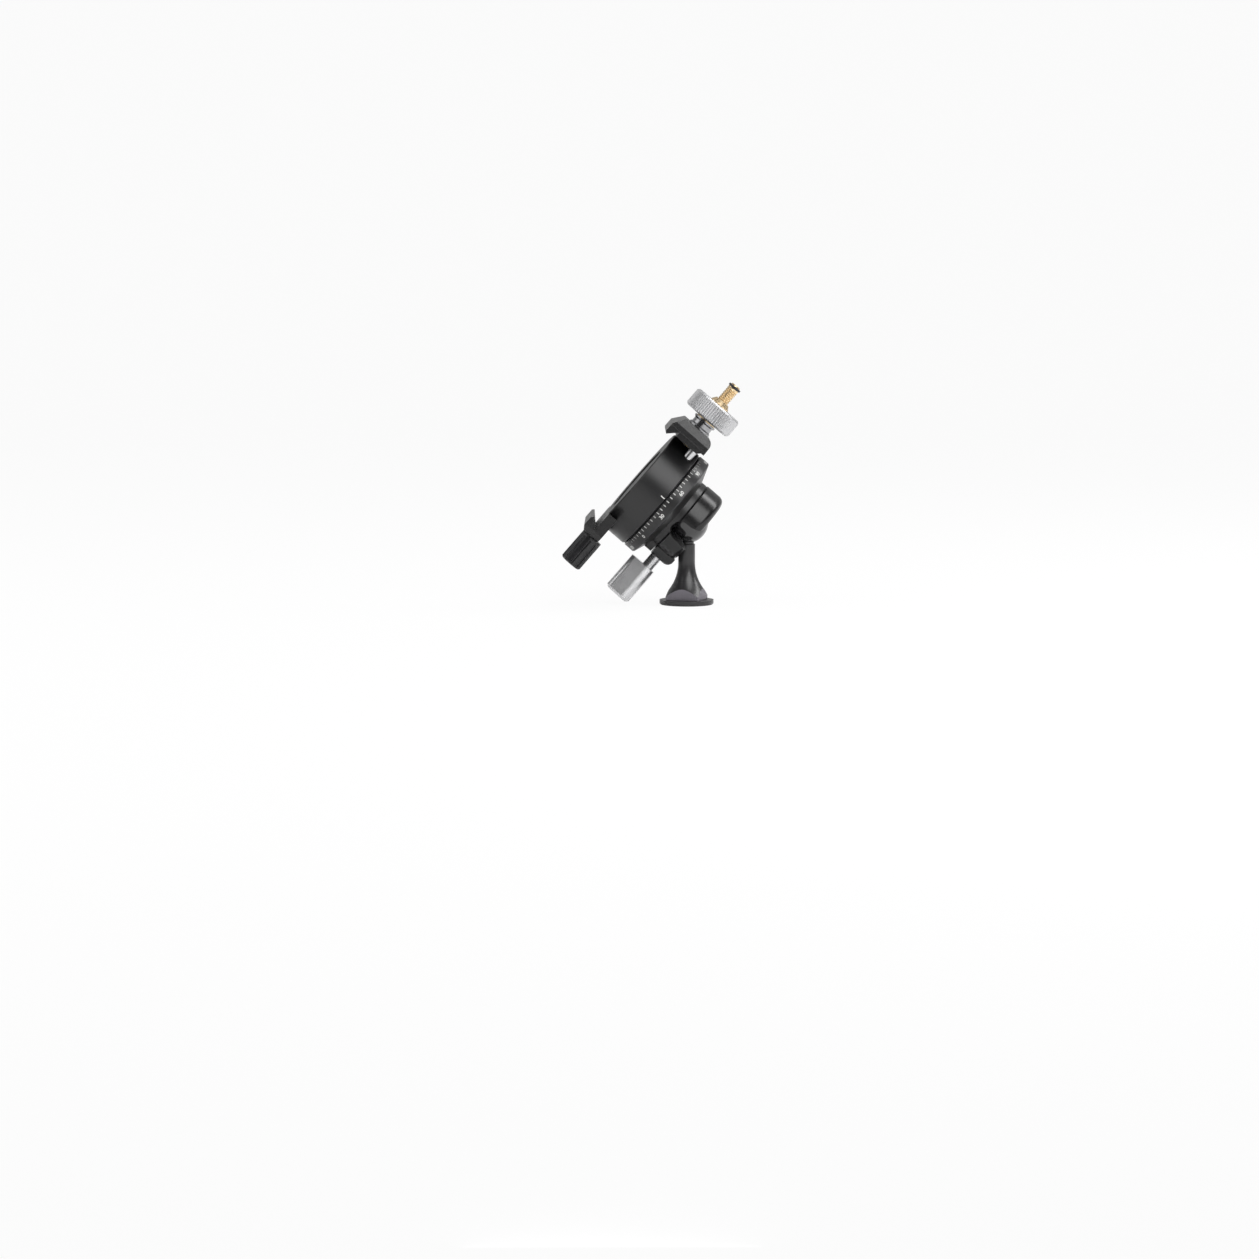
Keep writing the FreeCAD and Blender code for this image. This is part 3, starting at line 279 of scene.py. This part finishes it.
def foot_finish():
    made, place = new_finish("foot_black", IOR=1.6)
    grain = foot_rings(place)
    on_flat = None
    for quarter in range(2):
        angle = quarter * math.pi / 2 - FLAT_TURN - math.pi / 2
        square = Vector((math.cos(angle), math.sin(angle), 0))
        off = place.node("VectorMath", {"operation": "DOT_PRODUCT"}, {0: place, 1: square}, "Value")
        off = place.node("Math", {"operation": "ABSOLUTE"}, {0: off})
        apart = place.node("Math", {"operation": "ABSOLUTE"}, {0: off - FLAT_OFFSET * MM})
        hit = 1 - (apart > 0.02 * MM)
        on_flat = hit if on_flat is None else on_flat + hit
    height = place.node("SeparateXYZ", sockets={0: place}, out="Z")
    on_flat = on_flat * (height > 1.7 * MM)
    mill = streaks(place, Vector((0, 0, 1)), Vector((1, 0, 0)), 4.0)
    edge = rounded(place, 0.15 * MM)
    worn = near_edge(place, edge) * (clouds(place, 0.8, 4.0) > 0.5) * 0.45
    skin = mix(place, grain, (0.014, 0.014, 0.015, 1), (0.03, 0.029, 0.03, 1))
    # Painted sheen: the flats' paler, purple-grey colour stands in for the light the flat faces catch.
    flat = mix(place, mill, (0.15, 0.140, 0.162, 1), (0.20, 0.187, 0.212, 1))
    skin = mix(place, on_flat, skin, flat)
    mix(place, worn, skin, (0.25, 0.24, 0.24, 1)).into("Base Color")
    (0.25 + grain * 0.1 + on_flat * 0.17).into("Roughness")
    (worn * 0.8 + on_flat * 0.25).into("Metallic")
    bump(place, grain * 0.6 + mill * 0.4, 0.015 * MM, 0.3, edge).into("Normal")
    return made


foot_black = foot_finish()
print("foot's finish:", foot_black.name)

# %% [markdown]
# The ball is the one black piece with a polish. It has to slide in its seats, so it is ground and
# lapped: deep black, mirror-like, with hair-fine rubbed circles where it turns.

# %% The ball's polish
def ball_polish():
    made, place = new_finish("ball_polish", IOR=1.6, Coat_Roughness=0.05)
    rubbed = rings(place, Vector((0, 0, 1)), BALL_CENTRE, 9.0)
    patches = clouds(place, 0.3)
    mix(place, patches, (0.008, 0.008, 0.009, 1), (0.016, 0.016, 0.017, 1)).into("Base Color")
    (0.1 + rubbed * 0.07 + patches * 0.05).into("Roughness")
    (0.5 + patches * 0.3).into("Coat Weight")
    bump(place, rubbed, 0.004 * MM, 0.25, place.node("NewGeometry", out="Normal")).into("Normal")
    return made


ball_black = ball_polish()
print("ball's finish:", ball_black.name)

# %% [markdown]
# ## Bright metals
#
# Knob, lever, collar, screws and pins are bare or plated metal. A metal's colour lives in its
# reflection, so these are fully metallic, and the marks go to roughness and relief. Dirt settles in
# corners: a slightly darker tone in soft patches keeps the metal from looking cast in plastic. Each
# metal below is a pair, its clean tone and its dull one. The lever is the palest, ground bright. The
# collar's silver is painted dark, a painted reflection of the dim room it mirrors, and the steel of the
# retainer in the drum's well is painted darker, as painted shade for the well.

# %% Bright metals
def bright_metal(name, marks, pale, deep, gloss, spread=0.12, depth=0.015, round_edge=0.1):
    made, place = new_finish(name)
    grain = marks(place)
    patches = clouds(place, 0.35, 3.0)
    edge = rounded(place, round_edge * MM)
    polished = near_edge(place, edge)
    metal = mix(place, patches * 0.6 + grain * 0.4, (*deep, 1), (*pale, 1))
    metal.into("Base Color")
    (gloss + spread * grain + patches * 0.06 - polished * 0.05).into("Roughness")
    (0.92 + 0.08 * patches).into("Metallic")
    bump(place, grain, depth * MM, 0.4, edge).into("Normal")
    return made


def drive_rings(place):
    return rings(place, ACROSS, in_head(0, 0, DRIVE_HEIGHT), 6.0)


def lock_rings(place):
    return rings(place, ACROSS, BALL_CENTRE, 6.0)


def lever_streaks(place):
    return streaks(place, ACROSS, Vector((0, 1, 0)), 4.0)


def pan_lock_rings(place):
    return rings(place, ACROSS, in_head(0, 0, PAN_LOCK_HEIGHT), 6.0)


SILVER = ((0.70, 0.70, 0.71), (0.58, 0.58, 0.59))
STEEL = ((0.62, 0.61, 0.60), (0.47, 0.46, 0.455))
BRASS = ((0.90, 0.73, 0.47), (0.78, 0.57, 0.33))
DARK_STEEL = ((0.10, 0.10, 0.105), (0.05, 0.05, 0.053))
PALE_SILVER = ((0.92, 0.92, 0.93), (0.84, 0.84, 0.85))
# Silver painted dark for the collar: painted reflection of the dim room that the collar mirrors.
SILVER_PAINTED_DARK = ((0.44, 0.44, 0.45), (0.30, 0.30, 0.31))

knob_silver = bright_metal("knob_silver", drive_rings, *SILVER, 0.42, 0.1, 0.004)
collar_silver = bright_metal("collar_silver", drive_rings, *SILVER_PAINTED_DARK, 0.14, 0.06, 0.006)
lever_silver = bright_metal("lever_silver", lever_streaks, *PALE_SILVER, 0.3, 0.06, 0.003)
lock_steel = bright_metal("lock_steel", lock_rings, *SILVER, 0.2, 0.1, 0.006)
drive_brass = bright_metal("drive_brass", drive_rings, *BRASS, 0.22)
pan_lock_brass = bright_metal("pan_lock_brass", pan_lock_rings, *BRASS, 0.26)
pan_lock_steel = bright_metal("pan_lock_steel", pan_lock_rings, *STEEL, 0.26)
clip_steel = bright_metal("clip_steel", drive_rings, *DARK_STEEL, 0.3)
screw_steel = bright_metal("screw_steel", head_rings, *DARK_STEEL, 0.3)
bearing_bronze = bright_metal("bearing_bronze", head_rings, (0.72, 0.52, 0.32), (0.5, 0.34, 0.2), 0.3)
spring_steel = bright_metal("spring_steel", head_rings, *STEEL, 0.22)
# The retainer's steel is painted darker: painted shade for the drum's well that it sits in.
well_shaded_steel = bright_metal("well_shaded_steel", head_rings, (0.28, 0.28, 0.285), (0.18, 0.18, 0.185), 0.34)
foot_steel = bright_metal("foot_steel", foot_rings, *STEEL, 0.28)
print("bright metals ready")

# %% [markdown]
# ## Plastics and paint
#
# Seats, slip ring and washer are smooth self-oiling plastic. The pan knob is moulded: matt, finely
# pebbled from its mould. The scale is paint, rubbed into engraved lines and wiped off.

# %% Plastics and paint
def moulded(name, pale, deep, gloss, pebble_per_mm, depth, coat=0.0):
    made, place = new_finish(name, IOR=1.5)
    pebbles = place.node("TexVoronoi", {"feature": "SMOOTH_F1"},
                         {"Vector": place, "Scale": 1000 * pebble_per_mm})
    patches = clouds(place, 0.3, 3.0)
    edge = rounded(place, 0.2 * MM)
    mix(place, patches, (*deep, 1), (*pale, 1)).into("Base Color")
    (gloss + 0.1 * patches).into("Roughness")
    (coat + 0.1 * patches).into("Coat Weight")
    bump(place, pebbles, depth * MM, 0.3, edge).into("Normal")
    return made


seat_plastic = moulded("seat_plastic", (0.030, 0.030, 0.032), (0.016, 0.016, 0.017), 0.38, 2.0, 0.01)
slip_plastic = moulded("slip_plastic", (0.07, 0.07, 0.075), (0.04, 0.04, 0.045), 0.35, 2.0, 0.01)
knob_plastic = moulded("knob_plastic", (0.020, 0.020, 0.022), (0.011, 0.011, 0.012), 0.3, 4.0, 0.02, 0.15)
scale_paint = moulded("scale_paint", (0.82, 0.82, 0.80), (0.66, 0.66, 0.64), 0.5, 5.0, 0.01)
print("plastics and paint ready")

# %% [markdown]
# Each solid of the frame now takes its finish. A node keeps the slots it came with, and every slot gets
# the same finish, because each of these pieces is one metal or one plastic all through.

# %% Finishes on the solids
WORN_BY = {
    "foot": foot_black,
    "stem_stud": foot_steel,
    "ball": ball_black,
    "upper_seat": seat_plastic,
    "lower_seat": seat_plastic,
    "ball_housing": housing_black,
    "seat_spring": spring_steel,
    "pan_base": turned_black,
    "base_screws": screw_steel,
    "pan_retainer": well_shaded_steel,
    "retainer_screws": screw_steel,
    "lock_shoe": pan_lock_brass,
    "lock_screw": lock_steel,
    "lock_lever": lever_silver,
    "lever_screw": screw_steel,
    "clamp_body": turned_black,
    "pan_bearing": bearing_bronze,
    "pan_washer": slip_plastic,
    "slip_ring": slip_plastic,
    "fixed_jaw": milled_black,
    "fixed_jaw_screws": screw_steel,
    "moving_jaw": milled_black,
    "stud_clip": clip_steel,
    "guide_pins": lock_steel,
    "knob_collar": collar_silver,
    "thrust_washer": drive_brass,
    "clamp_knob": knob_silver,
    "knob_bush": drive_brass,
    "pan_shoe": pan_lock_brass,
    "pan_screw": pan_lock_steel,
    "pan_knob": knob_plastic,
}
REPLACED = ["thread_insert", "clamp_stud", "jaw_spring"]


def wear(piece, made):
    """Gives a piece one finish all over."""
    if not piece.material_slots:
        piece.data.materials.append(made)
    for spot in piece.material_slots:
        spot.material = made


for label, made in WORN_BY.items():
    wear(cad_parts[label], made)
unfinished = sorted(set(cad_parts) - set(WORN_BY) - set(REPLACED))
print("nodes with a finish:", len(WORN_BY), "left out:", unfinished)

# %% [markdown]
# ## Threads
#
# A thread could be cut with a boolean, but a boolean on a helix is slow and leaves slivers. A grid is
# cleaner: rows along the axis, columns round it, and each point's radius set by where it lies between
# two crests. The crest climbs one pitch in each turn, which is all that a thread is.

# %% A threaded surface
def thread_radius(x, angle, crest, root, pitch):
    """The radius of a 60 degree thread with flat crests and roots at a height and an angle."""
    phase = (x / pitch - angle / (2 * math.pi)) % 1.0
    slope = min(max(abs(phase - 0.5) * 2.6 - 0.4, 0.0), 1.0)
    return crest + (root - crest) * slope


def laid_down(shape, name, outward=True):
    """Turns a drawn shape into an object of the scene."""
    if outward:
        bmesh.ops.recalc_face_normals(shape, faces=shape.faces)
    mesh = bpy.data.meshes.new(name)
    shape.to_mesh(mesh)
    shape.free()
    piece = bpy.data.objects.new(name, mesh)
    bpy.context.collection.objects.link(piece)
    return piece


def lathe(name, rows, columns, closed):
    """A surface from rows of points. Each row is a ring: a function of the angle that gives a point."""
    shape = bmesh.new()
    grid = []
    for row in rows:
        ring = [shape.verts.new(row(2 * math.pi * step / columns)) for step in range(columns)]
        grid.append(ring)
    if closed:
        grid.append(grid[0])
    for low, high in zip(grid, grid[1:]):
        for step in range(columns):
            after = (step + 1) % columns
            shape.faces.new((low[step], low[after], high[after], high[step]))
    if not closed:
        shape.faces.new(reversed(grid[0]))
        shape.faces.new(grid[-1])
    return laid_down(shape, name)


def smooth(piece, degrees):
    """Soft shading, with corners sharper than that angle kept."""
    piece.data.polygons.foreach_set("use_smooth", [True] * len(piece.data.polygons))
    piece.data.set_sharp_from_angle(angle=math.radians(degrees))


print("thread and lathe helpers ready")

# %% [markdown]
# The stud is brass, four millimetres across with a pitch of 0.7. Its thread shows beyond the knob. Near
# the tip is the groove for the dark stop clip, and the tip itself is chamfered so that a nut starts.

# %% The clamp's stud
STUD_RADIUS = 2.0
STUD_ROOT = 1.69
STUD_PITCH = 0.7
STUD_START = 13.2
THREAD_START = 28.0
THREAD_END = 43.1
CLIP_START = 43.5
CLIP_END = 44.2
STUD_END = 44.7
CLIP_ROOT = 1.6


def stud_ring(x, radius=None):
    """One ring of the stud: plain where a radius is given, else on the thread."""
    def point(angle):
        reach = radius
        if reach is None:
            fade = min(1.0, (x - THREAD_START) / STUD_PITCH, (THREAD_END - x) / STUD_PITCH + 0.15)
            cut = thread_radius(x, angle, STUD_RADIUS, STUD_ROOT, STUD_PITCH)
            reach = STUD_RADIUS + (cut - STUD_RADIUS) * max(0.0, fade)
        return in_head(x, reach * math.cos(angle), DRIVE_HEIGHT + reach * math.sin(angle))
    return point


def make_stud():
    rows = [stud_ring(STUD_START, STUD_RADIUS)]
    steps = round((THREAD_END - THREAD_START) / STUD_PITCH * 12)
    for step in range(steps + 1):
        rows.append(stud_ring(THREAD_START + (THREAD_END - THREAD_START) * step / steps))
    for x, radius in [(CLIP_START - 0.1, 1.95), (CLIP_START, 1.85), (CLIP_START, CLIP_ROOT),
                      (CLIP_END, CLIP_ROOT), (CLIP_END, 1.8), (STUD_END, 1.5)]:
        rows.append(stud_ring(x, radius))
    made = lathe("stud_with_thread", rows, 40, False)
    smooth(made, 32)
    return made


stud = make_stud()
wear(stud, drive_brass)
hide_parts("clamp_stud")
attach(stud, "clamp")
print("stud faces", len(stud.data.polygons))

# %% [markdown]
# Under the foot a steel bush takes the tripod's quarter-inch screw, twenty turns to the inch. Its
# thread points inward: the crests are nearer to the axis than the roots. The outer wall, the two faces
# and the thread are one closed loop of rings.

# %% The foot's threaded bush
INCH = 25.4
FOOT_PITCH = INCH / 20
FOOT_ROOT = 3.175
FOOT_CREST = 2.62
BUSH_WALL = 4.0
BUSH_TOP = 6.0
LEAD_IN = 0.35


def bush_ring(z, radius=None):
    """One ring of the bush, plain or on the inner thread."""
    def point(angle):
        reach = radius
        if reach is None:
            fade = min(1.0, (z - LEAD_IN) / (0.6 * FOOT_PITCH), (BUSH_TOP - z) / (0.3 * FOOT_PITCH))
            cut = thread_radius(z, -angle, FOOT_CREST, FOOT_ROOT, FOOT_PITCH)
            reach = FOOT_ROOT + (cut - FOOT_ROOT) * max(0.0, fade)
        return Vector((reach * MM * math.cos(angle), reach * MM * math.sin(angle), z * MM))
    return point


def make_bush():
    rows = [bush_ring(0.0, FOOT_ROOT + LEAD_IN)]
    steps = 72
    for step in range(steps + 1):
        rows.append(bush_ring(LEAD_IN + (BUSH_TOP - LEAD_IN) * step / steps))
    rows += [bush_ring(BUSH_TOP, BUSH_WALL), bush_ring(0.0, BUSH_WALL)]
    made = lathe("threaded_bush", rows, 64, True)
    smooth(made, 30)
    return made


bush = make_bush()
wear(bush, foot_steel)
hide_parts("thread_insert")
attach(bush, "foot")
print("bush faces", len(bush.data.polygons))

# %% [markdown]
# ## The jaw's spring
#
# A coil spring pushes the jaw open. It is one wire, wound five turns, with an extra half turn laid flat
# and ground at each end so that it stands square in its pockets. A curve with a round bevel would do for
# the looks; here the wire is a mesh, set in place in the frame.

# %% The spring
COIL_RADIUS = 2.8
COIL_WIRE = 0.3
COIL_START = 16.5
COIL_END = 22.2
COIL_TURNS = 5
WIRE_SIDES = 12


def coil_height(turn):
    """Height over the spring's end at a number of turns: level at both ends, and even between."""
    rise = COIL_END - COIL_START
    flat = 0.5
    share = min(max((turn - flat) / (COIL_TURNS - 2 * flat), 0.0), 1.0)
    lead = 2.2 * COIL_WIRE
    ends = lead * (min(turn, flat) + max(0.0, turn - COIL_TURNS + flat)) / (2 * flat)
    return COIL_START + ends + (rise - lead) * share


def coil_point(turn):
    angle = 2 * math.pi * turn
    across, up = COIL_RADIUS * math.cos(angle), COIL_RADIUS * math.sin(angle)
    return Vector((coil_height(turn), across, up + DRIVE_HEIGHT))


def make_coil():
    shape = bmesh.new()
    steps = COIL_TURNS * 32
    grid = []
    for step in range(steps + 1):
        turn = COIL_TURNS * step / steps
        middle = coil_point(turn)
        angle = 2 * math.pi * turn
        out = Vector((0, math.cos(angle), math.sin(angle)))
        ring = []
        for side in range(WIRE_SIDES):
            bend = 2 * math.pi * side / WIRE_SIDES
            spot = middle + COIL_WIRE * (out * math.cos(bend) + Vector((1, 0, 0)) * math.sin(bend))
            ring.append(shape.verts.new(HEAD @ spot))
        grid.append(ring)
    for low, high in zip(grid, grid[1:]):
        for side in range(WIRE_SIDES):
            after = (side + 1) % WIRE_SIDES
            shape.faces.new((low[side], high[side], high[after], low[after]))
    shape.faces.new(grid[0])
    shape.faces.new(reversed(grid[-1]))
    made = laid_down(shape, "jaw_coil")
    smooth(made, 50)
    return made


coil = make_coil()
wear(coil, spring_steel)
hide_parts("jaw_spring")
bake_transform(coil)
print("spring faces", len(coil.data.polygons))

# %% [markdown]
# ## The degree scale
#
# The base's rim is engraved with a tick every five degrees and a number every thirty. The grooves are
# in the solid. The paint in them is its own thin piece, a little below the rim, so that the ticks keep a
# dark edge. The numbers are Blender's own letter shapes, made into a mesh and bent round the rim.

# %% The painted ticks
RIM = 19.2
TICK_COUNT = 72
TICK_TOP = 10.55
TICK_BOTTOM = 9.45
TICK_HALF = 0.16
TICK_FLOOR = 19.06
TICK_GAP = 0.02
PAINT_HALF = 0.04


def box_on_rim(shape, angle, half, bottom, top, inner, outer):
    """A small block on the rim. The angle is from the front, towards the clamp knob."""
    corners = []
    for reach in (inner, outer):
        for z in (bottom, top):
            for side in (-half, half):
                turn = angle + side / reach
                corners.append(shape.verts.new(in_head(reach * math.sin(turn), -reach * math.cos(turn), z)))
    for face in ((0, 1, 3, 2), (4, 6, 7, 5), (0, 4, 5, 1), (2, 3, 7, 6), (0, 2, 6, 4), (1, 5, 7, 3)):
        shape.faces.new([corners[number] for number in face])


def finish_piece(shape, name, made, body):
    """Turns a drawn shape into a piece with a finish, on its body."""
    piece = laid_down(shape, name)
    wear(piece, made)
    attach(piece, body)
    return piece


ticks = bmesh.new()
for number in range(TICK_COUNT):
    box_on_rim(ticks, 2 * math.pi * number / TICK_COUNT, TICK_HALF, TICK_BOTTOM + TICK_GAP,
               TICK_TOP - TICK_GAP, TICK_FLOOR - PAINT_HALF, TICK_FLOOR + PAINT_HALF)
tick_paint = finish_piece(ticks, "tick_paint", scale_paint, "housing")
print("painted ticks", TICK_COUNT)

# %% [markdown]
# The numbers stand upright along the head's axis under their ticks. They are only as thick as paint:
# most of each letter sinks into the rim, and two hundredths of a millimetre stand out.

# %% The painted numbers
NUMBER_SIZE = 1.75
NUMBER_FOOT = 7.75
NUMBER_FIRST = -40
NUMBER_STEP = 30
NUMBER_SINK = 0.012


def number_mesh(text):
    """The mesh of a number, centred, in units of the letter's size."""
    letters = bpy.data.curves.new("number_" + text, "FONT")
    letters.body = text
    letters.align_x = "CENTER"
    letters.size = NUMBER_SIZE
    letters.extrude = 0.035
    letters.offset = 0.03
    letters.resolution_u = 4
    holder = bpy.data.objects.new("number_" + text, letters)
    bpy.context.collection.objects.link(holder)
    bpy.context.view_layer.update()
    mesh = bpy.data.meshes.new_from_object(holder.evaluated_get(bpy.context.evaluated_depsgraph_get()))
    bpy.data.objects.remove(holder)
    bpy.data.curves.remove(letters)
    return mesh


numbers = bmesh.new()
for place_number in range(360 // NUMBER_STEP):
    mesh = number_mesh(str(NUMBER_STEP * place_number))
    turn = math.radians(NUMBER_FIRST + NUMBER_STEP * place_number)
    first = len(numbers.verts)
    numbers.from_mesh(mesh)
    numbers.verts.ensure_lookup_table()
    for corner in numbers.verts[first:]:
        angle = turn + corner.co.x / RIM
        reach = RIM - NUMBER_SINK + corner.co.z
        corner.co = in_head(reach * math.sin(angle), -reach * math.cos(angle), NUMBER_FOOT + corner.co.y)
    bpy.data.meshes.remove(mesh)
number_paint = finish_piece(numbers, "number_paint", scale_paint, "housing")
print("numbers 0 to 330, faces", len(number_paint.data.polygons))

# %% [markdown]
# A scale is no use without something to read it against: a short white line on the drum, just over the
# split, that pans with the clamp.

# %% The index line
index = bmesh.new()
INDEX_TURN = 5
INDEX_HALF = 0.17
INDEX_BOTTOM, INDEX_TOP = 11.5, 13.0
INDEX_INNER, INDEX_OUTER = 19.12, 19.215
box_on_rim(index, math.radians(INDEX_TURN), INDEX_HALF, INDEX_BOTTOM, INDEX_TOP, INDEX_INNER, INDEX_OUTER)
index_line = finish_piece(index, "index_line", scale_paint, "clamp")
print("index line made")

# %% [markdown]
# ## Floor and light
#
# The head stands on a plain white sheet that curves up behind it. The sheet stays white to the camera
# from its own colour and a share of glow that only camera rays see, so the object gets no extra light
# and its shadow stays.

# %% The white sheet
SHEET_HALF = 4.0
SHEET_FRONT = -3.0
SHEET_BACK = 1.2
SHEET_BEND = 0.6
SHEET_TOP = 3.0
BEND_STEPS = 12
GLOW_SHARE = 0.93


def make_sheet_floor():
    shape = bmesh.new()
    profile = [(SHEET_FRONT, 0.0), (SHEET_BACK, 0.0)]
    for step in range(1, BEND_STEPS + 1):
        angle = math.pi / 2 * step / BEND_STEPS
        profile.append((SHEET_BACK + SHEET_BEND * math.sin(angle), SHEET_BEND - SHEET_BEND * math.cos(angle)))
    profile.append((SHEET_BACK + SHEET_BEND, SHEET_TOP))
    rows = [[shape.verts.new((side, y, z)) for side in (-SHEET_HALF, SHEET_HALF)] for y, z in profile]
    for low, high in zip(rows, rows[1:]):
        shape.faces.new((low[0], low[1], high[1], high[0]))
    floor = laid_down(shape, "white_sheet", outward=False)
    smooth(floor, 60)
    return floor


def sheet_finish():
    made, place = new_finish("white_paper", Roughness=0.9)
    fibre = clouds(place, 0.5, 4.0)
    mix(place, fibre, (0.80, 0.80, 0.80, 1), (0.86, 0.86, 0.86, 1)).into("Base Color")
    bump(place, fibre, 0.02 * MM, 0.1, place.node("NewGeometry", out="Normal")).into("Normal")
    tree = made.node_tree
    seen = place.node("LightPath", out="Is Camera Ray")
    glow = place.node("Emission", {}, {"Color": (1, 1, 1, 1), "Strength": 1.0})
    paper = Wire(tree, tree.nodes["Principled BSDF"].outputs[0])
    both = place.node("MixShader", {}, {0: seen * GLOW_SHARE, 1: paper, 2: glow})
    tree.links.new(both.socket, tree.nodes["Material Output"].inputs[0])
    return made


floor = make_sheet_floor()
wear(floor, sheet_finish())
print("white sheet laid")

# %% [markdown]
# The room round the sheet is white where the camera looks. What metal mirrors is white behind the
# object and dim on the camera's side, as in a studio with its lamps off. Soft light comes evenly from
# everywhere at half strength, so a colour renders about as it is written once the lamps add their part.

# %% The room
def make_room():
    world = bpy.data.worlds.new("room")
    bpy.context.scene.world = world
    world.use_nodes = True
    tree = world.node_tree
    way = Wire(tree).node("TexCoord", out="Generated")
    depth = way.node("SeparateXYZ", sockets={0: way}, out="Y")
    behind = way.node("MapRange", {"interpolation_type": "SMOOTHSTEP"},
                      {"Value": depth, "From Min": 0.0, "From Max": 0.7, "To Min": 0.04, "To Max": 1.0})
    camera = way.node("LightPath", out="Is Camera Ray")
    glossy = way.node("LightPath", out="Is Glossy Ray")
    through = way.node("LightPath", out="Is Transmission Ray")
    mirrored = (glossy + through) * (1 - camera)
    strength = camera + mirrored * behind + (1 - camera - mirrored) * 0.5
    tree.links.new(strength.socket, tree.nodes["Background"].inputs["Strength"])
    tree.nodes["Background"].inputs["Color"].default_value = (1, 1, 1, 1)


make_room()
print("room lit")

# %% [markdown]
# The lamps are placed by what the drum mirrors. A point of a cylinder that faces the camera by an angle
# mirrors what lies at twice that angle. The drum's right half is lit by a broad soft box, a dark gap
# follows, and a narrow bright strip stands past it. Each lamp is placed by that doubled angle, in the
# plane of the head's X axis and the viewer. Two more fill in: a box over the top, and a card near the
# camera, a little low and to the left, where the lever's flat face mirrors it.

# %% The lamps
def add_lamp(name, angle, lift, distance, width, height, radiance):
    """A soft box at an angle from the camera towards the clamp knob. Radiance 1 looks white."""
    turn = math.radians(angle)
    up = math.radians(lift)
    flat = Vector((0, -1, 0)) * math.cos(turn) + ACROSS * math.sin(turn)
    way = flat * math.cos(up) + UP_HEAD * math.sin(up)
    light = bpy.data.lights.new(name, "AREA")
    light.shape = "RECTANGLE"
    light.size = width
    light.size_y = height
    light.energy = radiance * math.pi * width * height
    lamp = bpy.data.objects.new(name, light)
    bpy.context.collection.objects.link(lamp)
    lamp.location = BALL_CENTRE + way * distance
    back = way.normalized()
    side = UP_HEAD.cross(back).normalized()
    lamp.matrix_world = Matrix((side, back.cross(side), back)).transposed().to_4x4()
    lamp.matrix_world.translation = BALL_CENTRE + way * distance
    lamp.visible_camera = False
    return lamp


add_lamp("soft_box", 46, 6, 0.62, 0.46, 0.5, 3.4)
add_lamp("rim_strip", 100, 0, 0.6, 0.16, 0.6, 6.0)
add_lamp("left_strip", -92, 10, 0.7, 0.08, 0.5, 4.0)
add_lamp("top_box", 20, 75, 0.7, 0.5, 0.5, 1.2)
add_lamp("lever_card", -10, -9, 0.75, 0.22, 0.26, 2.2)

# %% [markdown]
# ## The camera
#
# The photograph looks along Y from six degrees over the horizon through a long lens. The point at the
# middle of the picture is beside the head, and the distance follows from how wide the picture is there.

# %% The camera
FIELD = 0.4197
SENSOR = 36.0
LENS = 100.0
ELEVATION = math.radians(6)
AIM = Vector((-0.0190, 0.0, -0.0085))

distance = FIELD * LENS / SENSOR
lens = bpy.data.cameras.new("long_lens")
lens.lens = LENS
lens.sensor_width = SENSOR
lens.clip_start = 0.05
lens.clip_end = 20
camera = bpy.data.objects.new("camera", lens)
bpy.context.collection.objects.link(camera)
back = Vector((0, -math.cos(ELEVATION), math.sin(ELEVATION)))
camera.location = AIM + back * distance
camera.rotation_euler = (-back).to_track_quat("-Z", "Y").to_euler()
bpy.context.scene.camera = camera
bpy.context.scene.view_settings.view_transform = "Standard"
print("camera is", round(distance, 3), "m away")
